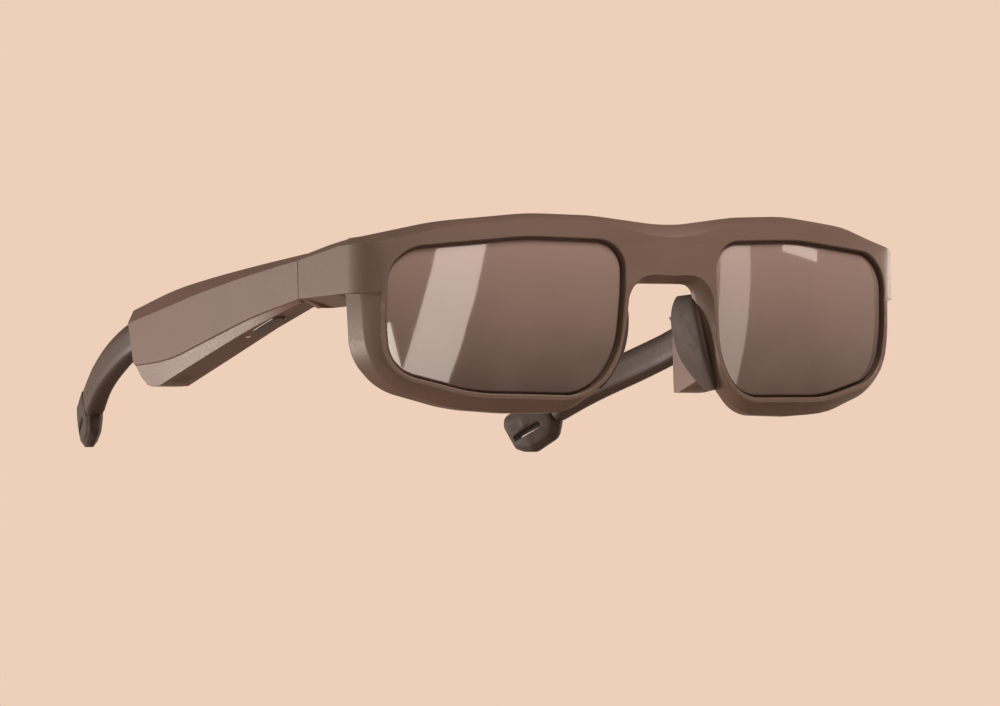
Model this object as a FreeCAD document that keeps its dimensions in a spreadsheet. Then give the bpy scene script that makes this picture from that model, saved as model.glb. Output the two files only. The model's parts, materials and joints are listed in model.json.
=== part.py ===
import FreeCAD, Part
import os
from math import atan2, cos, pi, radians, sin, tan

import Sketcher

# Smart glasses: one moulded front with two tinted lenses, and two temples that each hold a battery,
# a radio board, a speaker and a control key. Millimetres. +X is the wearer's left, -Y is forward and
# +Z is up. The origin is under the middle of the object, on the plane that the rims and tips rest on.
# Left-hand pieces are modelled, and right-hand pieces are their mirror images.

SIZES = {
    # front
    "sphere_y": 63.55, "sphere_z": 34.0, "lens_outer": 148.0, "lens_inner": 146.0,
    "frame_outer": 149.5, "back_sphere_y": 59.35, "back_sphere": 139.3,
    "lens_lip": 0.8, "groove_play": 0.05, "side_x": 72.5, "corner_start": 67.0, "corner_round": 10.0,
    "endpiece_inner": 64.8, "endpiece_floor": 26.8, "opening_back": -58.0, "hinge_y": -40.0,
    # hinge
    "pivot_x": 65.2, "knuckle_radius": 1.8, "knuckle_relief": 2.15, "hinge_low": 29.4, "hinge_high": 36.6,
    "knuckle_low": 31.9, "knuckle_high": 34.1, "knuckle_gap": 0.1, "bore_radius": 0.75, "pin_radius": 0.7,
    "pin_head_radius": 1.35, "pin_head": 0.7, "leaf": 1.0, "front_leaf_length": 13.5,
    "temple_leaf_length": 9.2, "leaf_low": 30.2, "leaf_high": 35.8, "screw_radius": 0.6,
    "screw_head_radius": 1.1, "screw_head": 0.5, "leaf_screw_length": 3.6,
    # temple
    "inner_x": 66.3, "cover": 1.2, "wall": 1.4, "temple_gap": 0.2, "cavity_front": -30.0,
    "cavity_rear": 24.4, "bevel_inset": 2.4, "ledge_inset": 1.0, "cover_screw_length": 3.8,
    "boss_radius": 1.7, "boss_length": 7.0, "taper_start": 23.4, "taper_end": 33.9, "taper_x": 72.6,
    # inside
    "board_x": 68.6, "board": 0.8, "board_length": 42.0, "board_height": 7.6, "shield_depth": 1.4,
    "shield_length": 9.0, "shield_height": 6.0, "battery_depth": 3.1, "battery_length": 24.0,
    "battery_height": 9.6, "speaker_depth": 3.4, "speaker_length": 8.0, "speaker_height": 8.0,
    "magnet_radius": 1.9, "magnet": 1.0, "contact_radius": 1.0, "contact_pitch": 5.0,
    # underside
    "key_span": 8.4, "key_radius": 1.8, "key_depth": 1.7, "key_proud": 0.5, "key_flange": 0.5,
    "key_play": 0.15, "key_travel": 0.3, "switch_size": 3.2, "switch_width": 1.8, "switch_height": 1.4,
    "grille_span": 7.6, "grille_radius": 1.7, "grille": 0.6, "grille_hole": 0.35, "grille_pitch": 1.3,
    "port_radius": 1.1, "pipe_radius": 0.55, "mic_size": 3.2, "mic_height": 1.0,
    # ear hook
    "core_radius": 0.6, "peg_height": 4.4, "peg_depth": 2.2, "tip_depth": 5.0, "slot_span": 7.6,
    "slot_radius": 0.7,
}

# Lens opening, seen from the front: corners (X, Z, rounding), clockwise from the top nasal corner.
LENS_CORNERS = [
    (12.4, 38.8, 6.5), (36.0, 39.7, 60.0), (66.2, 37.2, 8.5), (66.7, 20.0, 40.0), (65.4, 9.8, 9.0),
    (47.0, 4.6, 40.0), (19.6, 3.9, 11.0), (13.6, 14.0, 20.0), (12.6, 27.0, 40.0),
]
# Half of the front's outline, from the middle of the brow to the middle of the bridge.
FRONT_CORNERS = [
    (0.0, 42.6, 50.0), (19.0, 45.0, 45.0), (34.0, 45.6, 60.0), (54.0, 43.9, 50.0), (72.5, 39.4, 0.0),
    (72.5, 27.7, 0.0), (71.8, 27.7, 0.0), (70.7, 13.2, 14.0), (64.6, 5.6, 14.0), (50.0, 1.0, 40.0),
    (38.0, 0.0, 40.0), (22.5, 0.0, 12.0), (14.8, 7.6, 14.0), (11.3, 18.0, 30.0), (8.2, 29.6, 3.0),
]
# Top of the endpiece, seen from the side, (Y, Z), from the front to the hinge.
ENDPIECE_TOP = [(-70.0, 40.9), (-62.0, 40.4), (-52.0, 39.6), (-40.0, 38.1)]
# Temple sections: Y, outer X, and the heights of the ridge, bevel crease, ledge crease and underside.
TEMPLE_STATIONS = [
    (-39.8, 72.5, 38.1, 36.5, 27.5, 26.9),
    (-20.0, 73.9, 36.5, 34.2, 24.2, 22.2),
    (0.0, 74.8, 34.7, 31.5, 19.8, 16.8),
    (15.0, 75.0, 33.0, 29.1, 16.9, 12.8),
    (36.5, 75.0, 29.0, 25.8, 16.2, 7.0),
]
# The temple box seen from the side, cut back to its slanted and rounded rear end: (Y, Z, rounding).
TEMPLE_REAR = [
    (-45.0, 50.0, 0.0), (35.0, 50.0, 0.0), (35.0, 29.4, 2.0), (33.0, 25.6, 1.0), (31.3, 17.4, 3.0),
    (27.2, 11.2, 5.5), (-45.0, 11.2, 0.0),
]
# Cover screws, (Y, Z): one ahead of the cavity and one in a boss behind the battery.
COVER_SCREWS = [(-32.4, 27.5), (21.6, 28.6)]
# Ear hook sections along its centre line: X, Y, Z, height and thickness.
HOOK_STATIONS = [
    (73.0, 27.0, 24.4, 7.8, 4.2),
    (72.7, 36.0, 22.0, 7.7, 4.2),
    (70.4, 47.0, 18.9, 7.5, 4.3),
    (67.5, 57.0, 15.9, 7.4, 4.5),
    (65.2, 63.7, 13.5, 7.3, 4.6),
    (62.6, 70.7, 10.55, 7.2, 4.8),
]
# Tip paddle seen from the side: distance along the hook beyond its last section, height and rounding.
TIP_CORNERS = [
    (0.0, 3.7, 0.6), (14.6, 3.7, 1.0), (15.6, 2.4, 1.0), (13.4, -5.2, 2.0), (10.2, -7.4, 2.0),
    (2.2, -7.4, 1.8), (0.0, -5.2, 0.8),
]
# Middle of the strap slot through the tip, in the same directions, and its reach.
TIP_SLOT = (8.9, -2.5)
# Nose pad seen from the front: X, Z and rounding.
NOSE_PAD_CORNERS = [
    (8.4, 25.0, 1.4), (12.2, 25.5, 1.4), (14.4, 13.0, 6.0), (18.2, 6.6, 1.2), (15.0, 5.2, 1.2),
    (9.8, 13.0, 8.0),
]

V = FreeCAD.Vector
doc = FreeCAD.newDocument("smart_glasses")
nodes = []


# ---------------------------------------------------------------- document helpers

def make_sheet():
    table = doc.addObject("Spreadsheet::Sheet", "Sizes")
    for row, (name, number) in enumerate(SIZES.items(), start=1):
        table.set("A%d" % row, name)
        table.set("B%d" % row, str(number))
        table.setAlias("B%d" % row, name)
    doc.recompute()
    return table


sheet = make_sheet()


def size(name):
    return float(sheet.get(name))


def bind(item, **expressions):
    for prop, expression in expressions.items():
        item.setExpression(prop, expression)


def keep(item, label):
    """Name an object as one of the sub-parts."""
    item.Label = label
    nodes.append(item)
    return item


def keep_pair(item, label):
    """Name the left-hand sub-part and add its mirror image for the right."""
    keep(item, label + "_left")
    twin = doc.addObject("Part::Mirroring", label + "_twin")
    twin.Source = item
    twin.Normal = V(1, 0, 0)
    twin.Base = V(0, 0, 0)
    keep(twin, label + "_right")
    return item


def solid(name, shape):
    item = doc.addObject("Part::Feature", name)
    item.Shape = shape
    return item


def cut(name, base, tool):
    item = doc.addObject("Part::Cut", name)
    item.Base = base
    item.Tool = tool
    return item


def common(name, first, second):
    item = doc.addObject("Part::Common", name)
    item.Base = first
    item.Tool = second
    return item


def fuse(name, shapes):
    item = doc.addObject("Part::MultiFuse", name)
    item.Shapes = shapes
    return item


def group(name, shapes):
    item = doc.addObject("Part::Compound", name)
    item.Links = shapes
    return item


def sphere(name, radius, centre_y):
    item = doc.addObject("Part::Sphere", name)
    bind(item, Radius=radius)
    item.Placement = FreeCAD.Placement(V(0, size(centre_y), size("sphere_z")), FreeCAD.Rotation())
    bind(item, **{"Placement.Base.y": "Sizes." + centre_y, "Placement.Base.z": "Sizes.sphere_z"})
    return item


def cylinder(name, radius, height, base, direction=V(0, 0, 1)):
    item = doc.addObject("Part::Cylinder", name)
    bind(item, Radius=radius, Height=height)
    item.Placement = FreeCAD.Placement(base, FreeCAD.Rotation(V(0, 0, 1), direction))
    return item


def slab(name, low, high):
    item = doc.addObject("Part::Box", name)
    item.Length = high[0] - low[0]
    item.Width = high[1] - low[1]
    item.Height = high[2] - low[2]
    item.Placement = FreeCAD.Placement(V(*low), FreeCAD.Rotation())
    return item


def cuboid(name, depth, length, height, placement):
    """Box whose sides are bound to the sheet, centred on a placement."""
    item = doc.addObject("Part::Box", name)
    bind(item, Length="Sizes." + depth, Width="Sizes." + length, Height="Sizes." + height)
    half = V(-size(depth) / 2, -size(length) / 2, -size(height) / 2)
    item.Placement = placement * FreeCAD.Placement(half, FreeCAD.Rotation())
    return item


def headed_pin(name, radius, length, head_radius, head, base, direction):
    """Screw or pin: the head starts at base and the shank runs on along direction."""
    shank = cylinder(name + "_shank", radius, length, base, direction)
    cap = cylinder(name + "_head", head_radius, head, base, direction)
    return fuse(name, [shank, cap])


# ---------------------------------------------------------------- outlines

def to_front(u, v):
    return V(u, 0, v)


def to_side(u, v):
    return V(0, u, v)


def to_plan(u, v):
    return V(u, v, 0)


def rounded_wire(corners, place):
    """Closed wire of straight runs through the corners, each rounded by an arc of its own radius."""
    edges = []
    joints = []
    count = len(corners)
    for index, (u, v, radius) in enumerate(corners):
        here = V(u, v, 0)
        before = V(*corners[index - 1][:2], 0) - here
        after = V(*corners[(index + 1) % count][:2], 0) - here
        before.normalize()
        after.normalize()
        half = before.getAngle(after) / 2
        if radius == 0 or half > pi / 2 - 0.002:
            joints.append((here, None, here))
            continue
        reach = radius / tan(half)
        middle = before + after
        middle.normalize()
        nearest = here + middle * (radius / sin(half) - radius)
        joints.append((here + before * reach, nearest, here + after * reach))
    for index, (start, nearest, end) in enumerate(joints):
        if nearest is not None:
            points = [place(p.x, p.y) for p in (start, nearest, end)]
            edges.append(Part.Arc(*points).toShape())
        following = joints[(index + 1) % count][0]
        if (following - end).Length > 1e-6:
            edges.append(Part.LineSegment(place(end.x, end.y), place(following.x, following.y)).toShape())
    return Part.Wire(edges)


def prism(name, wire, along):
    """Extrusion of a closed outline, both ways along a direction."""
    outline = solid(name + "_outline", wire)
    item = doc.addObject("Part::Extrusion", name)
    item.Base = outline
    item.DirMode = "Custom"
    item.Dir = along
    item.LengthFwd = 120
    item.LengthRev = 120
    item.Solid = True
    return item


def swapped(corners):
    """The mirror image of an outline, in the order that continues it on the other side."""
    return [(-u, v, radius) for u, v, radius in reversed(corners)]


# ---------------------------------------------------------------- front

def spherical_shell(name, outer, inner, outer_y="sphere_y", inner_y="sphere_y"):
    return cut(name, sphere(name + "_out", outer, outer_y), sphere(name + "_in", inner, inner_y))


def make_lens():
    edge = rounded_wire(LENS_CORNERS, to_front).makeOffset2D(size("lens_lip"))
    blank = spherical_shell("lens_blank", "Sizes.lens_outer", "Sizes.lens_inner")
    forward = slab("lens_side", (0, -100, -10), (80, 0, 60))
    return common("lens", common("lens_edge", prism("lens_prism", edge, V(0, 1, 0)), blank), forward)


def make_lens_groove():
    play = size("groove_play")
    edge = rounded_wire(LENS_CORNERS, to_front).makeOffset2D(size("lens_lip") + play)
    ring = spherical_shell("groove_ring", "Sizes.lens_outer + Sizes.groove_play",
                           "Sizes.lens_inner - Sizes.groove_play")
    return common("lens_groove", prism("groove_prism", edge, V(0, 1, 0)), ring)


def make_opening():
    """Cutter for the lens opening, which runs through the rim and stops ahead of the hinge leaf."""
    outline = rounded_wire(LENS_CORNERS, to_front)
    return common("opening", prism("opening_prism", outline, V(0, 1, 0)),
                  slab("opening_depth", (0, -100, -10), (80, size("opening_back"), 60)))


def make_plan():
    """Plan view limit of the front: a rounded corner on each side leads into the straight endpieces."""
    side = size("side_x")
    start = size("corner_start")
    lead_y = size("sphere_y") - (size("frame_outer") ** 2 - start ** 2) ** 0.5 - 0.2
    tangent_y = lead_y + size("corner_round")
    bulge = V(start + 0.72 * (side - start), lead_y + 0.33 * size("corner_round"), 0)
    hinge = size("hinge_y")

    def side_edges(sign):
        return [Part.LineSegment(V(sign * start, -100, 0), V(sign * start, lead_y, 0)).toShape(),
                Part.Arc(V(sign * start, lead_y, 0), V(sign * bulge.x, bulge.y, 0),
                         V(sign * side, tangent_y, 0)).toShape(),
                Part.LineSegment(V(sign * side, tangent_y, 0), V(sign * side, hinge, 0)).toShape()]

    front_edge = Part.LineSegment(V(-start, -100, 0), V(start, -100, 0)).toShape()
    back_edge = Part.LineSegment(V(side, hinge, 0), V(-side, hinge, 0)).toShape()
    wire = Part.Wire([front_edge] + side_edges(1) + [back_edge] + side_edges(-1)[::-1])
    return prism("front_plan", wire, V(0, 0, 1))


def make_endpiece():
    floor = size("endpiece_floor")
    hinge = size("hinge_y")
    corners = [(y, z, 0.0) for y, z in ENDPIECE_TOP]
    corners += [(hinge, floor, 0.0), (ENDPIECE_TOP[0][0], floor, 0.0)]
    side = prism("endpiece_side", rounded_wire(corners, to_side), V(1, 0, 0))
    inner = size("endpiece_inner")
    block = slab("endpiece_block", (inner, -66.0, floor), (size("side_x"), hinge, 42.0))
    return common("endpiece", side, block)


def make_front(lens_cutters, hinge_cutters):
    corners = FRONT_CORNERS + swapped(FRONT_CORNERS[1:])
    outline = prism("front_prism", rounded_wire(corners, to_front), V(0, 1, 0))
    shell = spherical_shell("front_shell", "Sizes.frame_outer", "Sizes.back_sphere",
                            inner_y="back_sphere_y")
    ahead = slab("front_ahead", (-80, -100, -10), (80, -56, 60))
    plate = common("front_plate", common("front_slice", outline, shell), ahead)
    endpiece = make_endpiece()
    twin = mirrored("endpiece_twin", endpiece)
    blank = common("front_blank", fuse("front_sum", [plate, endpiece, twin]), make_plan())
    cutters = lens_cutters + hinge_cutters
    cutters = cutters + [mirrored("%s_mirror" % item.Name, item) for item in cutters]
    return cut("front", blank, fuse("front_cutters", cutters)), blank


def mirrored(name, item):
    twin = doc.addObject("Part::Mirroring", name)
    twin.Source = item
    twin.Normal = V(1, 0, 0)
    return twin


def make_nose_pad(front_blank):
    """Soft pad behind the nasal rim, leaning outwards towards its rear edge."""
    flare = [(u + 1.6, v - 0.6, radius) for u, v, radius in NOSE_PAD_CORNERS]
    front = rounded_wire(NOSE_PAD_CORNERS, to_front)
    rear = rounded_wire(flare, to_front)
    front.translate(V(0, -80.5, 0))
    rear.translate(V(0, -68.3, 0))
    block = solid("nose_pad_block", Part.makeLoft([front, rear], True, True))
    return cut("nose_pad", block, front_blank)


# ---------------------------------------------------------------- hinge

def pivot(z):
    return V(size("pivot_x"), size("hinge_y"), z)


def knuckle_at(name, low, high, radius="Sizes.knuckle_radius"):
    """Cylinder round the hinge axis between two heights, given as expressions of the sheet."""
    item = cylinder(name, radius, "(%s) - (%s)" % (high, low), pivot(0))
    bind(item, **{"Placement.Base.z": low})
    return item


def hinge_bore(name):
    return knuckle_at(name, "Sizes.hinge_low - 1", "Sizes.hinge_high + 1", "Sizes.bore_radius")


def make_front_leaf():
    inner = size("endpiece_inner")
    back = size("hinge_y")
    plate = slab("front_leaf_plate", (inner, back - size("front_leaf_length"), size("hinge_low")),
                 (inner + size("leaf"), back, size("hinge_high")))
    low = knuckle_at("front_knuckle_low", "Sizes.hinge_low", "Sizes.knuckle_low - Sizes.knuckle_gap")
    high = knuckle_at("front_knuckle_high", "Sizes.knuckle_high + Sizes.knuckle_gap", "Sizes.hinge_high")
    relief = knuckle_at("front_leaf_relief", "Sizes.knuckle_low - Sizes.knuckle_gap",
                        "Sizes.knuckle_high + Sizes.knuckle_gap", "Sizes.knuckle_relief")
    blank = cut("front_leaf_blank", fuse("front_leaf_sum", [plate, low, high]), relief)
    bored = cut("front_leaf_bored", blank, hinge_bore("front_leaf_bore"))
    screws = leaf_screws("front_leaf_screws", inner, (back - 11.2, back - 6.0))
    return cut("front_leaf", bored, screws), screws, blank, relief


def make_temple_leaf():
    inner = size("inner_x")
    front = size("hinge_y") + size("temple_gap")
    plate = slab("temple_leaf_plate", (inner, front, size("leaf_low")),
                 (inner + size("leaf"), front + size("temple_leaf_length"), size("leaf_high")))
    relief_low = knuckle_at("temple_relief_low", "Sizes.hinge_low - 0.3", "Sizes.knuckle_low",
                            "Sizes.knuckle_relief")
    relief_high = knuckle_at("temple_relief_high", "Sizes.knuckle_high", "Sizes.hinge_high + 0.3",
                             "Sizes.knuckle_relief")
    middle = knuckle_at("temple_knuckle", "Sizes.knuckle_low", "Sizes.knuckle_high")
    relieved = cut("temple_leaf_relieved", plate, fuse("temple_leaf_reliefs", [relief_low, relief_high]))
    blank = fuse("temple_leaf_blank", [relieved, middle])
    bored = cut("temple_leaf_bored", blank, hinge_bore("temple_leaf_bore"))
    screws = leaf_screws("temple_leaf_screws", inner, (front + 3.4, front + 7.4))
    return cut("temple_leaf", bored, screws), screws, blank


def leaf_screws(name, face_x, places):
    middle = (size("leaf_low") + size("leaf_high")) / 2
    screws = []
    for index, y in enumerate(places):
        screws.append(headed_pin("%s_%d" % (name, index), "Sizes.screw_radius", "Sizes.leaf_screw_length",
                                 "Sizes.screw_head_radius", "Sizes.screw_head", V(face_x, y, middle),
                                 V(1, 0, 0)))
    return group(name, screws)


def make_hinge_pin():
    """Hinge screw: its head sits on the upper knuckle and its shank ends flush below the lower one."""
    head = knuckle_at("hinge_pin_head", "Sizes.hinge_high", "Sizes.hinge_high + Sizes.pin_head",
                      "Sizes.pin_head_radius")
    shank = knuckle_at("hinge_pin_shank", "Sizes.hinge_low", "Sizes.hinge_high + Sizes.pin_head",
                       "Sizes.pin_radius")
    slot_low = size("hinge_high") + 0.4 * size("pin_head")
    centre = pivot(slot_low)
    driver = slab("hinge_pin_slot", (centre.x - 2, centre.y - 0.18, slot_low),
                  (centre.x + 2, centre.y + 0.18, 40))
    return cut("hinge_pin", fuse("hinge_pin_blank", [head, shank]), driver)


# ---------------------------------------------------------------- temple

def station_at(y):
    """Temple section interpolated at Y: outer X, ridge, crease, ledge and underside."""
    for low, high in zip(TEMPLE_STATIONS, TEMPLE_STATIONS[1:]):
        if low[0] <= y <= high[0]:
            share = (y - low[0]) / (high[0] - low[0])
            return [a + share * (b - a) for a, b in zip(low, high)][1:]
    raise ValueError("no temple section at %s" % y)


def temple_loft(name, rows, inner_x, skin):
    """Ruled solid through temple sections; skin is how far it keeps inside the outer surface."""
    wires = []
    for y in rows:
        outer, ridge, crease, ledge, underside = station_at(y)
        low = underside + skin
        top = ridge - skin
        outline = [
            (inner_x, low),
            (outer - size("ledge_inset") - skin, low),
            (outer - skin, max(ledge, low + 0.2)),
            (outer - skin, min(crease, top - 0.2)),
            (outer - size("bevel_inset") - 0.5 * skin, top),
            (inner_x, top),
        ]
        points = [V(x, y, z) for x, z in outline]
        wires.append(Part.makePolygon(points + points[:1]))
    return solid(name, Part.makeLoft(wires, True, True))


def make_temple_blank():
    rows = [station[0] for station in TEMPLE_STATIONS]
    inner = size("inner_x")
    body = temple_loft("temple_body", rows, inner - 2.0, 0.0)
    trimmed = cut("temple_trimmed", body, slab("temple_inner_side", (inner - 6, -60, 0), (inner, 60, 60)))
    limit = prism("temple_limit", rounded_wire(TEMPLE_REAR, to_side), V(1, 0, 0))
    return cut("temple_blank", common("temple_sided", trimmed, limit), make_taper()), limit


def make_taper():
    """Wedge that thins the rear of the temple box from its inner side, down to about the hook's width."""
    inner, start = size("inner_x"), size("taper_start")
    far_x, end = size("taper_x"), size("taper_end")
    reach = 20.0
    slope = (far_x - inner) / (end - start)
    corners = [(inner - 2, start - 2 / slope, 0.0), (far_x + slope * reach, end + reach, 0.0),
               (inner - 2, end + reach, 0.0)]
    return prism("temple_taper", rounded_wire(corners, to_plan), V(0, 0, 1))


def make_cavity():
    rows = [size("cavity_front"), -20.0, 0.0, 15.0, size("cavity_rear")]
    return temple_loft("temple_cavity", rows, size("inner_x") + size("cover"), size("wall"))


def underside_frame(y, depth=0.0, x=70.4):
    """Placement on the temple's underside: local X runs rearwards along it and local Z points into it."""
    ahead = station_at(y - 6.0)[4]
    behind = station_at(y + 6.0)[4]
    slope = atan2(behind - ahead, 12.0)
    inward = V(0, -sin(slope), cos(slope))
    rearward = V(0, cos(slope), sin(slope))
    turn = FreeCAD.Rotation(rearward, inward.cross(rearward), inward, "ZXY")
    base = V(x, y, station_at(y)[4]) + inward * depth
    return FreeCAD.Placement(base, turn)


def inside_frame(x, y):
    """Placement in the middle of the temple's cavity, tilted to follow its fall."""
    def middle(at):
        outer, ridge, crease, ledge, underside = station_at(at)
        return (ridge + underside) / 2
    slope = atan2(middle(y + 8.0) - middle(y - 8.0), 16.0)
    return FreeCAD.Placement(V(x, y, middle(y)), FreeCAD.Rotation(V(1, 0, 0), slope * 180 / pi))


# ---------------------------------------------------------------- bodies with sketches

def origin_plane(body, role):
    return [item for item in body.Origin.OriginFeatures if item.Role == role][0]


def new_sketch(body, name, role="XY_Plane"):
    sketch = body.newObject("Sketcher::SketchObject", name)
    sketch.AttachmentSupport = [(origin_plane(body, role), "")]
    sketch.MapMode = "FlatFace"
    return sketch


def slot_sketch(body, name, span, *radii):
    """Oval outline centred on the body's origin, long side along X. Its end radius is the radii's sum."""
    sketch = new_sketch(body, name)
    half = size(span) / 2
    round_size = sum(size(radius) for radius in radii)
    left = Part.ArcOfCircle(Part.Circle(V(-half, 0, 0), V(0, 0, 1), round_size), pi / 2, 3 * pi / 2)
    right = Part.ArcOfCircle(Part.Circle(V(half, 0, 0), V(0, 0, 1), round_size), -pi / 2, pi / 2)
    top = Part.LineSegment(V(-half, round_size, 0), V(half, round_size, 0))
    bottom = Part.LineSegment(V(-half, -round_size, 0), V(half, -round_size, 0))
    a, b, upper, lower = [sketch.addGeometry(item) for item in (left, right, top, bottom)]
    sketch.addConstraint([
        Sketcher.Constraint("Tangent", a, 1, upper, 1), Sketcher.Constraint("Tangent", upper, 2, b, 2),
        Sketcher.Constraint("Tangent", b, 1, lower, 2), Sketcher.Constraint("Tangent", lower, 1, a, 2),
        Sketcher.Constraint("Symmetric", a, 3, b, 3, -1, 1), Sketcher.Constraint("Horizontal", upper),
    ])
    width = sketch.addConstraint(Sketcher.Constraint("DistanceX", a, 3, b, 3, 2 * half))
    curve = sketch.addConstraint(Sketcher.Constraint("Radius", a, round_size))
    sketch.setExpression("Constraints[%d]" % width, "Sizes." + span)
    sketch.setExpression("Constraints[%d]" % curve, " + ".join("Sizes." + radius for radius in radii))
    return sketch


def pad(body, name, sketch, length, down=False):
    feature = body.newObject("PartDesign::Pad", name)
    feature.Profile = sketch
    feature.setExpression("Length", length)
    feature.Reversed = down
    sketch.Visibility = False
    return feature


def make_key():
    """Oval control key: a flange inside the wall keeps it in, and its cap stands proud of the underside."""
    body = doc.addObject("PartDesign::Body", "key_body")
    cap = slot_sketch(body, "key_cap_outline", "key_span", "key_radius")
    pad(body, "key_cap", cap, "Sizes.key_proud + Sizes.key_depth", down=True)
    flange = slot_sketch(body, "key_flange_outline", "key_span", "key_radius", "key_flange")
    pad(body, "key_flange_pad", flange, "Sizes.key_flange")
    doc.recompute()
    base = body.Tip
    edges = cap_edges(base.Shape)
    fillet = body.newObject("PartDesign::Fillet", "key_cap_round")
    fillet.Base = (base, edges)
    fillet.Radius = 0.35
    body.Tip = fillet
    body.Placement = underside_frame(key_y(), size("key_depth"))
    return body


def key_y():
    return -23.0


def cap_edges(shape):
    """Names of the edges round the outer end of the key's cap."""
    outer_end = -size("key_proud") - size("key_depth")
    names = []
    for index, edge in enumerate(shape.Edges, start=1):
        if all(abs(vertex.Z - outer_end) < 1e-3 for vertex in edge.Vertexes):
            names.append("Edge%d" % index)
    return names


def make_grille():
    """Perforated oval plate let into the underside below the speaker."""
    body = doc.addObject("PartDesign::Body", "grille_body")
    outline = slot_sketch(body, "grille_outline", "grille_span", "grille_radius")
    pad(body, "grille_plate", outline, "Sizes.grille")
    holes = new_sketch(body, "grille_hole_outline")
    pitch = size("grille_pitch")
    for side in (-0.5, 0.5):
        holes.addGeometry(Part.Circle(V(-2.5 * pitch, side * pitch, 0), V(0, 0, 1), size("grille_hole")))
    pocket = body.newObject("PartDesign::Pocket", "grille_first_holes")
    pocket.Profile = holes
    pocket.Type = 1
    pocket.Reversed = True
    holes.Visibility = False
    doc.recompute()
    pattern = body.newObject("PartDesign::LinearPattern", "grille_holes")
    pattern.Originals = [pocket]
    pattern.Direction = (holes, ["H_Axis"])
    pattern.Occurrences = 6
    pattern.setExpression("Length", "5 * Sizes.grille_pitch")
    body.Tip = pattern
    body.Placement = underside_frame(grille_y())
    return body


def grille_y():
    return 15.5


def oval_cutter(name, span, radius, low, high, placement):
    """Oval prism between two depths of an underside frame, for pockets and openings."""
    reach = size(span) / 2
    far = reach + radius
    corner = 0.999 * radius
    wire = rounded_wire([(-far, radius, corner), (far, radius, corner), (far, -radius, corner),
                         (-far, -radius, corner)], to_plan)
    wire.translate(V(0, 0, low))
    shape = Part.Face(wire).extrude(V(0, 0, high - low))
    item = solid(name, shape)
    item.Placement = placement
    return item


def make_board():
    body = doc.addObject("PartDesign::Body", "board_body")
    sketch = new_sketch(body, "board_outline", "YZ_Plane")
    length = size("board_length") / 2
    height = size("board_height") / 2
    corners = [V(-length, -height, 0), V(length, -height, 0), V(length, height, 0), V(-length, height, 0)]
    sides = [sketch.addGeometry(Part.LineSegment(corners[i], corners[(i + 1) % 4])) for i in range(4)]
    for i in range(4):
        sketch.addConstraint(Sketcher.Constraint("Coincident", sides[i], 2, sides[(i + 1) % 4], 1))
    sketch.addConstraint([
        Sketcher.Constraint("Horizontal", sides[0]), Sketcher.Constraint("Horizontal", sides[2]),
        Sketcher.Constraint("Vertical", sides[1]), Sketcher.Constraint("Vertical", sides[3]),
        Sketcher.Constraint("Symmetric", sides[0], 1, sides[1], 2, -1, 1),
    ])
    wide = sketch.addConstraint(Sketcher.Constraint("DistanceX", sides[0], 1, sides[0], 2, 2 * length))
    tall = sketch.addConstraint(Sketcher.Constraint("DistanceY", sides[1], 1, sides[1], 2, 2 * height))
    sketch.setExpression("Constraints[%d]" % wide, "Sizes.board_length")
    sketch.setExpression("Constraints[%d]" % tall, "Sizes.board_height")
    pad(body, "board_pad", sketch, "Sizes.board")
    body.Placement = inside_frame(size("board_x"), -6.0)
    return body


# ---------------------------------------------------------------- ear hook

def hook_frame(index):
    """Centre, direction, height vector and side vector of the ear hook at a station."""
    here = V(*HOOK_STATIONS[index][:3])
    before = V(*HOOK_STATIONS[max(index - 1, 0)][:3])
    after = V(*HOOK_STATIONS[min(index + 1, len(HOOK_STATIONS) - 1)][:3])
    along = after - before
    along.normalize()
    side = along.cross(V(0, 0, 1))
    side.normalize()
    height = side.cross(along)
    return here, along, height, side


def ellipse_wire(centre, tall, wide):
    curve = Part.Ellipse(centre + tall, centre + wide, centre)
    return Part.Wire([curve.toShape()])


def make_hook(limit):
    """Curved ear hook with a peg at each end: one in the temple box and one in the soft tip."""
    sections = []
    cores = []
    for index, station in enumerate(HOOK_STATIONS):
        here, along, height, side = hook_frame(index)
        sections.append(ellipse_wire(here, height * (station[3] / 2), side * (station[4] / 2)))
        cores.append(Part.Wire([Part.Circle(here, along, size("core_radius")).toShape()]))
    sweep = solid("hook_sweep", Part.makeLoft(sections, True, False))
    free = cut("hook_free", sweep, limit)
    pegs = []
    for name, index, lead in (("hook_root_peg", 0, 1.5), ("hook_tip_peg", len(HOOK_STATIONS) - 1, -2.0)):
        here, along, height, side = hook_frame(index)
        start = here + along * lead
        end = start + along * 7.5
        pair = [ellipse_wire(point, height * (size("peg_height") / 2), side * (size("peg_depth") / 2))
                for point in (start, end)]
        pegs.append(solid(name, Part.makeLoft(pair, True, True)))
    blank = fuse("hook_blank", [free] + pegs)
    core = solid("hook_core", Part.makeLoft(cores[1:], True, False))
    return cut("ear_hook", blank, core), blank, core


def make_tip(hook_blank):
    here, along, height, side = hook_frame(len(HOOK_STATIONS) - 1)

    def place(u, v):
        return here + along * u + height * v

    half = side * (size("tip_depth") / 2)
    outline = rounded_wire(TIP_CORNERS, place)
    outline.translate(half * -1)
    paddle = solid("tip_paddle", Part.Face(outline).extrude(half * 2))
    far = size("slot_span") / 2 + size("slot_radius")
    near = size("slot_radius")
    u, v = TIP_SLOT
    ends = [(u - far, v + near), (u + far, v + near), (u + far, v - near), (u - far, v - near)]
    groove = rounded_wire([(x, y, 0.999 * near) for x, y in ends], place)
    groove.translate(half * -2)
    pierced = cut("tip_pierced", paddle, solid("tip_slot", Part.Face(groove).extrude(half * 4)))
    return cut("ear_tip", pierced, hook_blank)


# ---------------------------------------------------------------- assembly

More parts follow.
